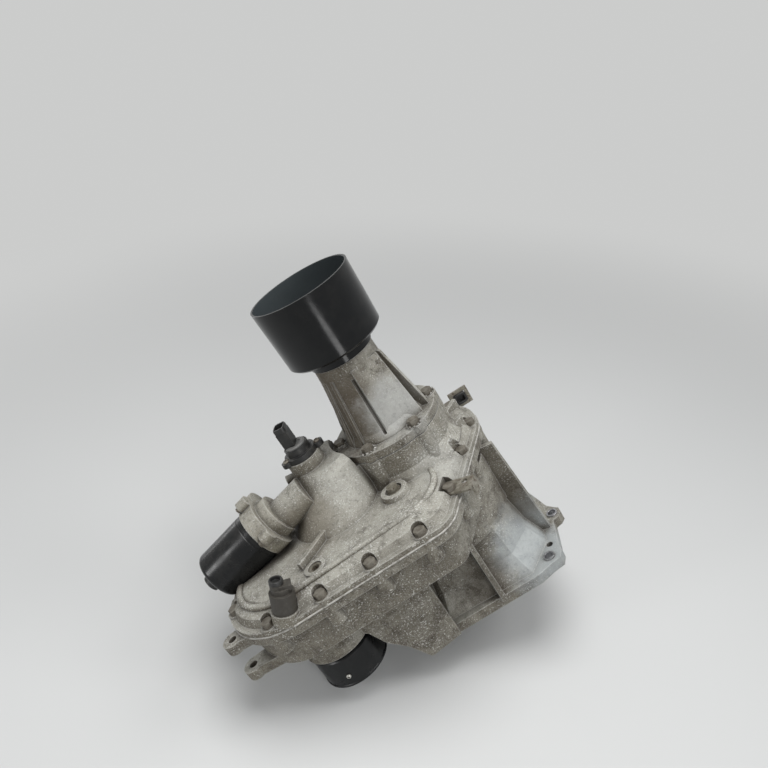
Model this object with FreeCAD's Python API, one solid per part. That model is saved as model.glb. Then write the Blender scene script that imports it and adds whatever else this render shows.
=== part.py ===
import FreeCAD, Part
import math
import os

# Four-wheel-drive transfer case, millimetres. The main shaft runs along Z, up towards the
# rear output. The origin is on the main shaft, in the face that bolts to the gearbox.

# Shaft layout
FRONT_X = -191.0        # front output axis, from the main shaft
FRONT_Y = -85.0
PARTING_Z = 180.0       # joint face of the two case halves
GASKET = 0.8
RUN = 0.05              # radial running clearance
SEAT = 0.3              # gap where a loose or guided piece comes to rest

# Case outline: three round corners joined by straight runs (x, y, radius)
END_X, END_Y, END_R = 14.0, 24.0, 90.0
SHOULDER_X, SHOULDER_Y, SHOULDER_R = -16.0, -132.5, 35.0
NOSE_X, NOSE_R = -197.0, 82.5
OUTLINE = [(NOSE_X, FRONT_Y, NOSE_R), (SHOULDER_X, SHOULDER_Y, SHOULDER_R), (END_X, END_Y, END_R)]
WALL = 7.0
RIM_WIDTH = 15.0        # bolted rim, from the outline to the chain chamber
RIM_THICK = 12.0
COVER_RIM = 6.5
COVER_BOSS = 8.0        # bolt seats on the cover, above the gasket
SIDE_INSET = 7.0        # case side, in from the rim's edge
CHAMBER_FLOOR_Z = 128.0
BOLT_INSET = 9.5
BOLT_SHARES = [(0.42, 0.83), (0.2, 0.56, 0.92), (), (0.22, 0.71), (0.08, 0.4, 0.72), (0.1, 0.37, 0.63, 0.9)]
COVER_BOLT_R = 4.0
COVER_HEAD_H = 6.0
BOLT_HOLE_DEPTH = 26.0  # cover bolt holes in the case
BOSS_R = 10.5

# Rear cover
PLATEAU_Z = 205.0
PLATEAU_INSET = 31.0
COVER_SIDE_Z = 197.0
NECK_TOP_Z = 246.0
NECK_R = 71.0
NECK_BORE_R = 60.0
HUMP_X, HUMP_Y, HUMP_R = -112.0, -35.0, 63.0
HUMP_TOP_X, HUMP_TOP_Y, HUMP_TOP_R, HUMP_TOP_Z = -90.0, -16.0, 41.0, 268.0

# Barrel, bell and gearbox flange
BARREL_R = 88.0
BARREL_BORE_R = 78.0
BARREL_FLOOR_Z = 92.0
FLANGE_THICK = 14.0
BELL_X = 85.0           # half spacing of the four gearbox bolts, along X and Y
BELL_Y = 92.0
BELL_HOLE_R = 5.5
EAR_HOLE_X, EAR_HOLE_Y = 124.0, -20.0
EDGE_WEB_R = 106.0      # top of the web under the rim, from the main shaft
BELL_EDGE = [(-100, -105), (60, -111), (79, -106), (96, -104), (103, -93), (105, -80), (113, -54), (119, -34),
             (128, -32), (135, -26), (136, -16), (131, -9), (125, 2), (122, 24), (117, 60), (100, 104), (66, 110),
             (-98, 110)]
BELL_SKIRT = [(-100, -64), (-66, -98), (58, -106), (98, -66), (112, 0), (102, 62), (64, 98), (-66, 98), (-100, 64)]
BUSH_R = 7.5
PLAIN_HOLE_X, PLAIN_HOLE_Y, PLAIN_HOLE_R = 95.0, -72.0, 4.5
SKIRT_FOLD_R, SKIRT_FOLD_Z = 98.0, 44.0    # crease round the bell's skirt

# Extension housing
EXT_TOP_Z = 363.0
EXT_FLANGE_R = 71.0
EXT_FLANGE_THICK = 10.5
EXT_BASE_R = 52.0
EXT_TIP_R = 40.0
EXT_BOLTS = 6
EXT_BOLT_PCR = 64.0
EXT_BOLT_START = -123.0
EXT_BOLT_R = 4.0
EXT_BOLT_L = 22.0
EXT_BOSS_R = 11.0
PANEL_FROM, PANEL_TO = -93.0, -40.0     # flat panel between two long ribs, degrees

# Shafts, bearings and seals
MAIN_R = 17.0
FRONT_SHAFT_R = 15.0
BEARING_W = 14.0
RACE = 4.0
MID_BEARING_R = 37.0
REAR_BEARING_R = 33.0
REAR_BEARING_Z = 326.0
INPUT_BEARING_R = 42.0
INPUT_R = 24.0
INPUT_BORE_R = 15.0
FRONT_BEARING_R = 38.0
COVER_BEARING_R = 30.0
COVER_BEARING_W = 12.0

# Low range planetary set
MODULE = 2.5
SUN_TEETH = 32
PLANET_TEETH = 12
RING_TEETH = SUN_TEETH + 2 * PLANET_TEETH
PLANETS = 4
GEAR_Z = 100.0
GEAR_W = 19.0
BACKLASH = 0.5
PIN_R = 5.0

# Range sleeve and fork
SLEEVE_R = 27.4
SLEEVE_TRAVEL = 9.0
SLEEVE_Z = 121.0
DOG_LENGTH = 7.0
COLLAR_R = 34.0
FORK_THICK = 4.0
RAIL_X, RAIL_Y, RAIL_R = -84.0, -44.0, 7.0
RAIL_TOP_Z = 243.0
CONTROL_X, CONTROL_Y, CONTROL_R = -108.0, -16.0, 8.0
CAM_R = 18.0
CAM_Z = 206.0
PLATE_CAM_R = 16.0
FOLLOWER_R = 4.0
RAMP_Z = 228.0
RAMP_R = 46.0

# Chain drive
CHAIN_PITCH = 9.525
SPROCKET_TEETH = 36
SPROCKET_Z = 168.0
SPROCKET_W = 16.0
CHAIN_THICK = 7.0

# Clutch
CLUTCH_Z = 195.0
PLATE = 2.0
PLATE_PAIRS = 5
DRUM_R = 56.0
PLATE_OUT_R = 52.0
PLATE_IN_R = 34.0

# Rear output: flange, collar and cup
CUP_RIM_R = 65.3
CUP_FLOOR_R = 63.0
CUP_H = 84.0
CUP_WALL = 2.5
CUP_Z = 378.0
COLLAR_OUT_R = 42.0
REAR_DISC_R = 52.0
REAR_HOLES = 6
REAR_HOLE_PCR = 42.0
REAR_HOLE_R = 4.25
HUB_R = 24.0

# Front output: flange and can
CAN_R = 44.0
CAN_RIM_Z = 37.0
CAN_FLOOR_Z = 80.0
CAN_WALL = 2.5
FRONT_HOLES = 6

# Actuator
MOTOR_TILT = 15.0       # motor axis, down from -X, degrees
MOTOR_X, MOTOR_Y, MOTOR_Z = -181.0, -43.0, 243.0
MOTOR_R = 32.5
MOTOR_L = 78.0
GEARHEAD_T = 20.0
ARMATURE_R = 4.0
GEAR_CASE_R, GEAR_CASE_T = 27.0, 14.0   # inner half of the gear head, seated on the pad
PAD_R = 21.0
PAD_DROP = 6.0          # pad's axis, below the motor's
EARS = [(34.0, 20.0), (-34.0, 4.0), (6.0, 38.0)]
EAR_R = 8.0
RELIEF = 1.0            # gap between the cover and the actuator lying over it

# Plugs, sensors and bracket on the rear cover
SENSOR_STAND = 16.0     # sensor's seat, above the hump
LEVEL_X, LEVEL_Y, LEVEL_Z, LEVEL_R = -34.0, -83.0, 212.0, 7.0
LEVEL_BOSS_R = 17.0
LEVEL_DEEP = 3.0        # spotface under the level plug's head
FILL_X, FILL_Y, FILL_Z, FILL_R = -154.0, -128.0, 207.0, 9.0
FILL_BOSS_R = 14.0
FILL_DEPTH = 9.0
BREATHER_R = 6.0
STUB_X, STUB_Y, STUB_Z, STUB_LEAN = -203.0, -153.0, 196.0, 23.0
STUB_R = 14.5
BRACKET_T = 3.0
TAB_L, TAB_W, TAB_TURN = 28.0, 25.0, -31.0     # harness tab's reach, width and heading

# Lugs on the nose
LUG_X, LUG_Y, LUG_R, LUG_HOLE_R = -283.0, -119.0, 13.0, 5.25
LUG_T = 13.0
LUG_LOW_Z = 121.0

V = FreeCAD.Vector
UP = V(0, 0, 1)


def cyl(r, z0, z1, x=0.0, y=0.0):
    return Part.makeCylinder(r, z1 - z0, V(x, y, z0), UP)


def tube(outer, inner, z0, z1, x=0.0, y=0.0):
    return cyl(outer, z0, z1, x, y).cut(cyl(inner, z0 - 1, z1 + 1, x, y))


def cone(r0, r1, z0, z1, x=0.0, y=0.0):
    return Part.makeCone(r0, r1, z1 - z0, V(x, y, z0), UP)


def box(x0, y0, z0, x1, y1, z1):
    return Part.makeBox(x1 - x0, y1 - y0, z1 - z0, V(x0, y0, z0))


def join(shapes):
    body = shapes[0]
    for shape in shapes[1:]:
        body = body.fuse(shape)
    return body


def carve(body, cuts):
    for cut in cuts:
        body = body.cut(cut)
    return body


def turned(profile, x=0.0, y=0.0):
    """A solid turned from an (r, z) profile about a vertical axis."""
    points = [V(x + r, y, z) for r, z in profile]
    face = Part.Face(Part.makePolygon(points + points[:1]))
    return face.revolve(V(x, y, 0), UP, 360)


def prism(points, z0, z1):
    corners = [V(x, y, z0) for x, y in points]
    face = Part.Face(Part.makePolygon(corners + corners[:1]))
    return face.extrude(V(0, 0, z1 - z0))


def upright(points, y0, y1):
    """A plate from (x, z) points, thick along Y."""
    corners = [V(x, y0, z) for x, z in points]
    face = Part.Face(Part.makePolygon(corners + corners[:1]))
    return face.extrude(V(0, y1 - y0, 0))


def polar(radius, degrees, x=0.0, y=0.0):
    angle = math.radians(degrees)
    return x + radius * math.cos(angle), y + radius * math.sin(angle)


def outline_wire(inset, z):
    """The case outline moved in by inset: arcs about the three corners and the runs between."""
    count = len(OUTLINE)
    normals = []
    for i in range(count):
        x0, y0, r0 = OUTLINE[i]
        x1, y1, r1 = OUTLINE[(i + 1) % count]
        heading = math.atan2(y1 - y0, x1 - x0)
        normals.append(heading - math.acos((r0 - r1) / math.hypot(x1 - x0, y1 - y0)))
    edges = []
    for i in range(count):
        x, y, r = OUTLINE[i]
        start, end = normals[i - 1], normals[i]
        while end < start:
            end += 2 * math.pi
        arc = [V(x + (r - inset) * math.cos(a), y + (r - inset) * math.sin(a), z)
               for a in (start, (start + end) / 2, end)]
        edges.append(Part.Arc(*arc).toShape())
        nx, ny, nr = OUTLINE[(i + 1) % count]
        after = V(nx + (nr - inset) * math.cos(end), ny + (nr - inset) * math.sin(end), z)
        edges.append(Part.makeLine(arc[2], after))
    return Part.Wire(edges)


def slab(inset, z0, z1):
    return Part.Face(outline_wire(inset, z0)).extrude(V(0, 0, z1 - z0))


def tapered_slab(inset0, z0, inset1, z1):
    return Part.makeLoft([outline_wire(inset0, z0), outline_wire(inset1, z1)], True, True)


def outline_points():
    """Bolt places on the rim: shares of the way along each corner arc and straight run."""
    wire = outline_wire(BOLT_INSET, PARTING_Z)
    places = []
    for edge, shares in zip(wire.OrderedEdges, BOLT_SHARES):
        for share in shares:
            point = edge.valueAt(edge.FirstParameter + share * (edge.LastParameter - edge.FirstParameter))
            places.append((point.x, point.y))
    return places


def hex_prism(across, z0, z1, x=0.0, y=0.0):
    corner = across / 2 / math.cos(math.radians(30))
    return prism([polar(corner, 60 * k, x, y) for k in range(6)], z0, z1)


def flanged_bolt(r, z_under, length, x, y, head_h):
    parts = [cyl(r * 1.9, z_under, z_under + head_h * 0.25, x, y),
             hex_prism(r * 3.2, z_under, z_under + head_h, x, y),
             cyl(r, z_under - length, z_under, x, y)]
    return join(parts)


def gear_points(teeth, tip, root, slack):
    """Involute flanks drawn as their chords, from the root to the tip circle."""
    pitch_r = MODULE * teeth / 2
    base_r = pitch_r * math.cos(math.radians(20))

    def half(r):
        pressure = math.acos(min(1.0, base_r / r))
        gain = math.tan(math.radians(20)) - math.radians(20) - math.tan(pressure) + pressure
        return math.pi / 2 / teeth - slack / 2 / pitch_r + gain

    points = []
    for k in range(teeth):
        middle = 2 * math.pi * k / teeth
        for r, side in ((root, -1), (tip, -1), (tip, 1), (root, 1)):
            angle = middle + side * half(max(r, base_r))
            points.append((r * math.cos(angle), r * math.sin(angle)))
    return points


def moved(shape, x, y, degrees=0.0):
    placed = shape.copy()
    placed.rotate(V(0, 0, 0), UP, degrees)
    placed.translate(V(x, y, 0))
    return placed


def export(shape, name):
    solids = shape.Solids
    for solid in solids:
        if not solid.isValid() or solid.Volume <= 0:
            print("bad solid in", name)
    shape.exportStep("parts/" + name + ".step")
    print(name, len(solids), round(shape.Volume))


BOLTS = outline_points()
COVER_BASE_Z = PARTING_Z + GASKET
FLANGE_SPACE_R = EXT_BOLT_PCR + EXT_BOSS_R + RELIEF
COVER_BOSS_Z = COVER_BASE_Z + COVER_BOSS
SENSOR_Z = HUMP_TOP_Z + SENSOR_STAND
FRONT_DISC_R = CAN_R - 7
FRONT_HOLE_PCR = FRONT_DISC_R - 7
TAB_BOLT = min(BOLTS, key=lambda place: math.hypot(place[0] - SHOULDER_R, place[1] - SHOULDER_Y))
BRACKET_BOLT = min(BOLTS, key=lambda place: math.hypot(place[0] - END_R, place[1] - END_R))
GEAR_TOP = GEAR_Z + GEAR_W
RING_ROOT_R = MODULE * RING_TEETH / 2 + 1.2 * MODULE
CARRIER_R = MODULE * (SUN_TEETH + PLANET_TEETH) / 2
SPROCKET_R = CHAIN_PITCH / 2 / math.sin(math.pi / SPROCKET_TEETH)
CHAIN_IN_R = SPROCKET_R + SEAT + 0.5
INPUT_BEARING_Z = BARREL_FLOOR_Z - WALL - BEARING_W
FRONT_BEARING_Z = CHAMBER_FLOOR_Z - BEARING_W - 4
COVER_BEARING_Z = SPROCKET_Z + SPROCKET_W + 1
EXT_Z = NECK_TOP_Z + GASKET
EXT_FLANGE_TOP = EXT_Z + EXT_FLANGE_THICK
MID_BEARING_Z = EXT_Z
SLEEVE_TOP = SLEEVE_Z + 37.0
GROOVE_Z = SLEEVE_Z + 29.0
DOG_CARRIER_Z = SLEEVE_Z + SLEEVE_TRAVEL
NUT_Z = CUP_Z + CUP_WALL + 5
MOTOR_DIR = V(-math.cos(math.radians(MOTOR_TILT)), 0, -math.sin(math.radians(MOTOR_TILT)))
MOTOR_AT = V(MOTOR_X, MOTOR_Y, MOTOR_Z)


def along_motor(radius, start, length, x=0.0, y=0.0):
    """A cylinder on the motor axis, from start to start + length out of the gear head."""
    side = V(0, 1, 0)
    high = side.cross(MOTOR_DIR)
    base = MOTOR_AT + MOTOR_DIR * start + side * x + high * y
    return Part.makeCylinder(radius, length, base, MOTOR_DIR)


def front_case():
    rim = slab(0, PARTING_Z - RIM_THICK, PARTING_Z)
    side = tapered_slab(SIDE_INSET + 6, CHAMBER_FLOOR_Z - WALL, SIDE_INSET, PARTING_Z - RIM_THICK + 1)
    barrel = cyl(BARREL_R, BARREL_FLOOR_Z - WALL, PARTING_Z - 20)
    boss = cyl(FRONT_BEARING_R + 9, CAN_FLOOR_Z + 4, CHAMBER_FLOOR_Z, FRONT_X, FRONT_Y)
    snout = cyl(INPUT_BEARING_R + WALL, INPUT_BEARING_Z - 12, BARREL_FLOOR_Z)
    bosses = [cyl(BOSS_R, PARTING_Z - BOLT_HOLE_DEPTH - 4, PARTING_Z, x, y) for x, y in BOLTS]
    lugs = [lug(PARTING_Z - LUG_T - 2), lug(LUG_LOW_Z)]
    body = join([rim, side, barrel, boss] + bosses + lugs + underside_ribs() + bell())
    body = join([body.cut(skirt(WALL, 0)), snout])
    cuts = [slab(RIM_WIDTH, CHAMBER_FLOOR_Z, PARTING_Z + 1),
            cyl(BARREL_BORE_R, BARREL_FLOOR_Z, CHAMBER_FLOOR_Z + 1),
            cyl(INPUT_BEARING_R, INPUT_BEARING_Z, BARREL_FLOOR_Z + 1),
            cyl(INPUT_R + 10, INPUT_BEARING_Z - 13, INPUT_BEARING_Z + 1),
            cyl(FRONT_BEARING_R, FRONT_BEARING_Z, CHAMBER_FLOOR_Z + 1, FRONT_X, FRONT_Y),
            cyl(HUB_R + 9, CAN_FLOOR_Z, FRONT_BEARING_Z + 1, FRONT_X, FRONT_Y)]
    cuts += [cyl(COVER_BOLT_R + RUN, PARTING_Z - BOLT_HOLE_DEPTH, PARTING_Z + 1, x, y) for x, y in BOLTS]
    cuts += [cyl(LUG_HOLE_R, LUG_LOW_Z - 1, PARTING_Z + 1, LUG_X, LUG_Y)]
    for x, y in bell_holes():
        cuts.append(cyl(BELL_HOLE_R, -1, FLANGE_THICK + 1, x, y))
    cuts.append(cyl(PLAIN_HOLE_R, -1, FLANGE_THICK + 1, PLAIN_HOLE_X, PLAIN_HOLE_Y))
    for x, y in bush_places():
        cuts.append(cyl(BUSH_R, -1, FLANGE_THICK + 1, x, y))
    return carve(body, cuts)


def lug(z):
    end = cyl(LUG_R, z, z + LUG_T, LUG_X, LUG_Y)
    root_x, root_y = NOSE_X - NOSE_R * 0.45, FRONT_Y - NOSE_R * 0.6
    root = prism([(LUG_X, LUG_Y + LUG_R), (LUG_X - LUG_R * 0.7, LUG_Y - LUG_R * 0.7), (root_x, root_y),
                  (root_x + 14, root_y + 36)], z, z + LUG_T)
    return end.fuse(root)


def underside_ribs():
    """Ribs under the chain chamber, fanning from the barrel to the front bearing boss."""
    ribs = []
    for degrees in (188, 203, 218, 235):
        x0, y0 = polar(BARREL_R - 4, degrees)
        x1, y1 = polar(FRONT_BEARING_R + 6, degrees - 180 + (203 - degrees) * 2, FRONT_X, FRONT_Y)
        ribs.append(wall_between(x0, y0, x1, y1, 6.0, BARREL_FLOOR_Z + 6, CHAMBER_FLOOR_Z))
    return ribs


def wall_between(x0, y0, x1, y1, thick, z0, z1):
    length = math.hypot(x1 - x0, y1 - y0)
    nx, ny = -(y1 - y0) / length * thick / 2, (x1 - x0) / length * thick / 2
    return prism([(x0 - nx, y0 - ny), (x1 - nx, y1 - ny), (x1 + nx, y1 + ny), (x0 + nx, y0 + ny)], z0, z1)


def bell_holes():
    return [(-BELL_X, -BELL_Y), (-BELL_X, BELL_Y), (BELL_X, BELL_Y)]


def bush_places():
    return [(BELL_X, -BELL_Y), (EAR_HOLE_X, EAR_HOLE_Y)]


def bell():
    """Gearbox flange, the faceted skirt that rises from it to the barrel, and its webs."""
    flange = prism(BELL_EDGE, 0, FLANGE_THICK)
    shell = skirt(0, FLANGE_THICK / 2)
    webs = []
    for x, y in ((-88, -96), (8, -110), (112, 56), (0, 108), (-88, 104)):
        webs.append(web(x, y, BARREL_R + 6, CHAMBER_FLOOR_Z))
    webs.append(web(112, -41, EDGE_WEB_R, PARTING_Z - RIM_THICK))
    flare = upright([(-60, FLANGE_THICK / 2), (-98, 2), (-106, 2), (-122, 32), (-142, 56), (-153, 82), (-160, 88),
                     (-166, CHAMBER_FLOOR_Z - 4), (-60, CHAMBER_FLOOR_Z - 4)], -118, -109)
    return [flange, shell, flare] + webs


def skirt(inset, z0):
    """Ruled skirt from the flange outline over a crease to the barrel, all moved in by inset."""
    low, fold, high = [], [], []
    for x, y in BELL_SKIRT:
        reach = math.hypot(x, y)
        shrink = (reach - inset) / reach
        low.append(V(x * shrink, y * shrink, z0))
        fold.append(V(x / reach * (SKIRT_FOLD_R - inset), y / reach * (SKIRT_FOLD_R - inset), SKIRT_FOLD_Z - inset))
        high.append(V(x / reach * (BARREL_R - inset), y / reach * (BARREL_R - inset), BARREL_FLOOR_Z - inset))
    wires = [Part.makePolygon(ring + ring[:1]) for ring in (low, fold, high)]
    return Part.makeLoft(wires, True, True)


def web(x, y, top_r, top_z):
    """A buttress from a flange edge point up to a height and radius on the case, standing on its radius."""
    reach = math.hypot(x, y)
    inner = BARREL_R - 6
    plate = upright([(inner - 8, FLANGE_THICK / 2), (reach, FLANGE_THICK / 2), (reach, FLANGE_THICK + 2),
                     (top_r, top_z), (inner, top_z)], -3.5, 3.5)
    plate.rotate(V(0, 0, 0), UP, math.degrees(math.atan2(y, x)))
    return plate


def rear_cover():
    base = COVER_BASE_Z
    rim = slab(0, base, base + COVER_RIM)
    side = tapered_slab(SIDE_INSET - 1, base + 4, SIDE_INSET + 5, COVER_SIDE_Z)
    dome = tapered_slab(SIDE_INSET + 5, COVER_SIDE_Z, PLATEAU_INSET, PLATEAU_Z)
    neck = cone(NECK_R + 8, NECK_R, PLATEAU_Z - 6, PLATEAU_Z + 12).fuse(cyl(NECK_R, PLATEAU_Z - 6, NECK_TOP_Z))
    neck_bosses = [cyl(EXT_BOSS_R, PLATEAU_Z, NECK_TOP_Z, *polar(EXT_BOLT_PCR, a)) for a in ext_bolt_angles()]
    flange_space = cyl(FLANGE_SPACE_R, NECK_TOP_Z, SENSOR_Z + 1)
    hump = hump_solid(0).cut(flange_space)
    sensor_boss = cyl(23, HUMP_TOP_Z - 12, SENSOR_Z, CONTROL_X, CONTROL_Y).cut(flange_space)
    bosses = [cyl(BOSS_R, base, COVER_BOSS_Z, x, y) for x, y in BOLTS]
    bosses += [cone(LEVEL_BOSS_R + 4, LEVEL_BOSS_R, PLATEAU_Z - 6, LEVEL_Z, LEVEL_X, LEVEL_Y),
               cyl(FILL_BOSS_R, PLATEAU_Z - 6, FILL_Z, FILL_X, FILL_Y),
               leaned(cyl(STUB_R + 2, -14, 0)).common(box(-260, -200, base, -150, -90, PLATEAU_Z + 20))]
    outside = join([rim, side, dome, neck, hump, sensor_boss, breather_boss(), actuator_pad()] + neck_bosses + bosses
                   + cover_ribs())
    body = carve(outside, cover_cavity())
    inner_bosses = [cyl(COVER_BEARING_R + 5, COVER_BEARING_Z, PLATEAU_Z - WALL + 1, FRONT_X, FRONT_Y),
                    cyl(RAIL_R + 5, RAIL_TOP_Z - 12, HUMP_TOP_Z, RAIL_X, RAIL_Y).common(hump_solid(1))]
    body = join([body] + inner_bosses)
    return carve(body, cover_holes())


def cover_cavity():
    """The chain chamber, the neck bore and the hump's inside, each kept a wall away from the outside."""
    ceiling = PLATEAU_Z - WALL
    under_motor = along_motor(MOTOR_R + RELIEF + WALL - 1, -WALL, GEARHEAD_T + MOTOR_L)
    under_flange = cyl(FLANGE_SPACE_R + WALL, NECK_TOP_Z - WALL, HUMP_TOP_Z)
    return [slab(RIM_WIDTH, COVER_BASE_Z - 1, COVER_BASE_Z + 3.5).cut(under_motor),
            tapered_slab(RIM_WIDTH, COVER_BASE_Z + 3, PLATEAU_INSET + 2, ceiling).cut(under_motor),
            cyl(NECK_BORE_R, COVER_BASE_Z, NECK_TOP_Z + 1),
            hump_solid(WALL).cut(under_flange),
            box(CONTROL_X, -45, RAMP_Z - 14, -50, 12, RAMP_Z + 8)]


def cover_holes():
    top = COVER_BOSS_Z
    cuts = [cyl(CONTROL_R + RUN, HUMP_TOP_Z - 20, SENSOR_Z + 1, CONTROL_X, CONTROL_Y),
            cyl(RAIL_R, RAIL_TOP_Z - 20, RAIL_TOP_Z, RAIL_X, RAIL_Y),
            cyl(COVER_BEARING_R, COVER_BEARING_Z - 1, COVER_BEARING_Z + COVER_BEARING_W, FRONT_X, FRONT_Y),
            cyl(FILL_R, PLATEAU_Z - WALL - 1, FILL_Z + 1, FILL_X, FILL_Y),
            cyl(LEVEL_R, PLATEAU_Z - WALL - 1, LEVEL_Z + 1, LEVEL_X, LEVEL_Y),
            cyl(LEVEL_R + 4, LEVEL_Z - LEVEL_DEEP, LEVEL_Z + 1, LEVEL_X, LEVEL_Y),
            leaned(cyl(STUB_R + 0.5, 0, 40)),
            leaned(cyl(8, -9, 1)),
            bracket_foot(0.5),
            tab_plate(0.5),
            along_motor(MOTOR_R + RELIEF, GEARHEAD_T - 1, MOTOR_L + 20),
            along_motor(GEAR_CASE_R + RELIEF, -GEAR_CASE_T, GEAR_CASE_T + 1),
            along_motor(MOTOR_R + 2 + RELIEF, 0, GEARHEAD_T)]
    cuts += [along_motor(EAR_R + RELIEF, 0, GEARHEAD_T, dx, dy) for dx, dy in EARS]
    for x, y in BOLTS:
        cuts.append(cyl(COVER_BOLT_R + RUN, COVER_BASE_Z - 1, top + 1, x, y))
        cuts.append(cyl(COVER_BOLT_R * 1.9 + 1, top, top + 20, x, y))
    cuts += [cyl(EXT_BOLT_R + RUN, NECK_TOP_Z - EXT_BOLT_L, NECK_TOP_Z + 1, *polar(EXT_BOLT_PCR, a))
             for a in ext_bolt_angles()]
    return cuts


def leaned(shape):
    """Stand a shape made about Z at the speed sensor's seat, leaning towards the middle."""
    shape.rotate(V(0, 0, 0), V(0, 1, 0), STUB_LEAN)
    shape.translate(V(STUB_X, STUB_Y, STUB_Z))
    return shape


def ext_bolt_angles():
    return [EXT_BOLT_START + 360.0 / EXT_BOLTS * k for k in range(EXT_BOLTS)]


def hump_solid(inset):
    """Leaning dome over the control shaft and fork rail."""
    base = Part.Wire(Part.makeCircle(HUMP_R - inset, V(HUMP_X, HUMP_Y, PLATEAU_Z - 8)))
    waist = Part.Wire(Part.makeCircle(HUMP_R * 0.88 - inset, V(HUMP_X + 7, HUMP_Y + 5, PLATEAU_Z + 14)))
    top_z = HUMP_TOP_Z - inset
    shoulder = Part.Wire(Part.makeCircle(HUMP_TOP_R + 3 - inset, V(HUMP_TOP_X, HUMP_TOP_Y, top_z - 8)))
    top = Part.Wire(Part.makeCircle(HUMP_TOP_R - 5 - inset, V(HUMP_TOP_X, HUMP_TOP_Y, top_z)))
    return Part.makeLoft([base, waist, shoulder, top], True, True)


def breather_boss():
    """Small hollow-nosed boss on the side of the hump, above the actuator."""
    root = V(HUMP_TOP_X - HUMP_TOP_R + 10, HUMP_TOP_Y + 4, HUMP_TOP_Z - 8)
    return Part.makeCylinder(BREATHER_R, 22, root, V(-1, 0.1, 0.1))


def actuator_pad():
    """Machined pad on the side of the hump that carries the actuator."""
    depth = CONTROL_X - MOTOR_X - 15
    pad = Part.makeCylinder(PAD_R, depth, MOTOR_AT - MOTOR_DIR * depth - UP * PAD_DROP, MOTOR_DIR)
    return pad.common(box(-240, -90, PLATEAU_Z - 4, -110, 30, 290))


def cover_ribs():
    ribs = []
    for degrees in (-20, 14, 50, 96):
        x0, y0 = polar(NECK_R - 3, degrees)
        x1, y1 = polar(END_R - BOLT_INSET, degrees, END_X, END_Y)
        ribs.append(wall_between(x0, y0, x1, y1, 6.0, PARTING_Z + 8, PLATEAU_Z + 4))
    ribs.append(wall_between(-128, -80, -170, -118, 6.0, PLATEAU_Z - 6, PLATEAU_Z + 10))
    return ribs


def case_gasket():
    ring = slab(0, PARTING_Z, PARTING_Z + GASKET).cut(slab(RIM_WIDTH, PARTING_Z - 1, PARTING_Z + 2))
    return ring.cut([cyl(COVER_BOLT_R + 0.5, PARTING_Z - 1, PARTING_Z + 2, x, y) for x, y in BOLTS])


def cover_bolts():
    tops = [COVER_BOSS_Z + (BRACKET_T if place in (BRACKET_BOLT, TAB_BOLT) else 0) for place in BOLTS]
    length = COVER_BOSS_Z - PARTING_Z + BOLT_HOLE_DEPTH - 1
    return [flanged_bolt(COVER_BOLT_R, top, length, x, y, COVER_HEAD_H) for top, (x, y) in zip(tops, BOLTS)]


def extension_housing():
    flange = cyl(EXT_FLANGE_R, EXT_Z, EXT_FLANGE_TOP)
    bosses = [cyl(EXT_BOSS_R, EXT_Z, EXT_FLANGE_TOP + 1, *polar(EXT_BOLT_PCR, a)) for a in ext_bolt_angles()]
    body = turned([(0, EXT_Z), (EXT_BASE_R + 5, EXT_Z), (EXT_BASE_R + 3, EXT_FLANGE_TOP + 2),
                   (EXT_BASE_R - 2, EXT_FLANGE_TOP + 12), (EXT_TIP_R + 1, EXT_TOP_Z - 20),
                   (EXT_TIP_R, EXT_TOP_Z), (0, EXT_TOP_Z)])
    shape = join([flange, body, flat_panel()] + bosses + extension_fins())
    cuts = [cyl(MID_BEARING_R, EXT_Z - 1, EXT_Z + BEARING_W),
            cone(MID_BEARING_R - 4, REAR_BEARING_R - 5, EXT_Z + BEARING_W - 0.1, REAR_BEARING_Z - 10),
            cyl(REAR_BEARING_R - 5, REAR_BEARING_Z - 11, REAR_BEARING_Z + 1),
            cyl(REAR_BEARING_R, REAR_BEARING_Z, REAR_BEARING_Z + BEARING_W),
            cyl(HUB_R + 9, REAR_BEARING_Z + BEARING_W - 1, EXT_TOP_Z + 1)]
    cuts += [cyl(EXT_BOLT_R + RUN, EXT_Z - 1, EXT_FLANGE_TOP + 2, *polar(EXT_BOLT_PCR, a))
             for a in ext_bolt_angles()]
    return shape.cut(cuts + [panel_groove()])


def flat_panel():
    """Flat cast panel between the two long ribs that face the camera side."""
    def ring(z, first, second):
        a, b = polar(first, PANEL_FROM), polar(second, PANEL_TO)
        points = [V(0, 0, z), V(a[0], a[1], z), V(b[0], b[1], z), V(8, 30, z)]
        return Part.makePolygon(points + points[:1])
    return Part.makeLoft([ring(EXT_Z + 4, 53, 62), ring(EXT_TOP_Z - 12, 43, 46)], True, True)


def panel_groove():
    """Shallow groove where the flat panel meets the round side."""
    groove = upright([(EXT_BASE_R - 5, EXT_FLANGE_TOP + 6), (EXT_BASE_R + 12, EXT_FLANGE_TOP + 6),
                      (EXT_BASE_R, EXT_TOP_Z - 22), (EXT_TIP_R - 4, EXT_TOP_Z - 22)], -2.0, 2.0)
    groove.rotate(V(0, 0, 0), UP, PANEL_FROM - 4)
    return groove


def extension_fins():
    fins = []
    for degrees, foot, tip in ((PANEL_TO + 15, 66, 45), (27, 62, 42), (87, 62, 42), (147, 64, 43),
                               (207, 57, 41), (226, 56, 42)):
        fin = upright([(EXT_TIP_R - 8, EXT_Z + 4), (foot, EXT_Z + 4), (foot - 3, EXT_FLANGE_TOP + 12),
                       (tip, EXT_TOP_Z - 16), (EXT_TIP_R - 4, EXT_TOP_Z - 10)], -2.5, 2.5)
        fin.rotate(V(0, 0, 0), UP, degrees)
        fins.append(fin)
    return fins


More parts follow.
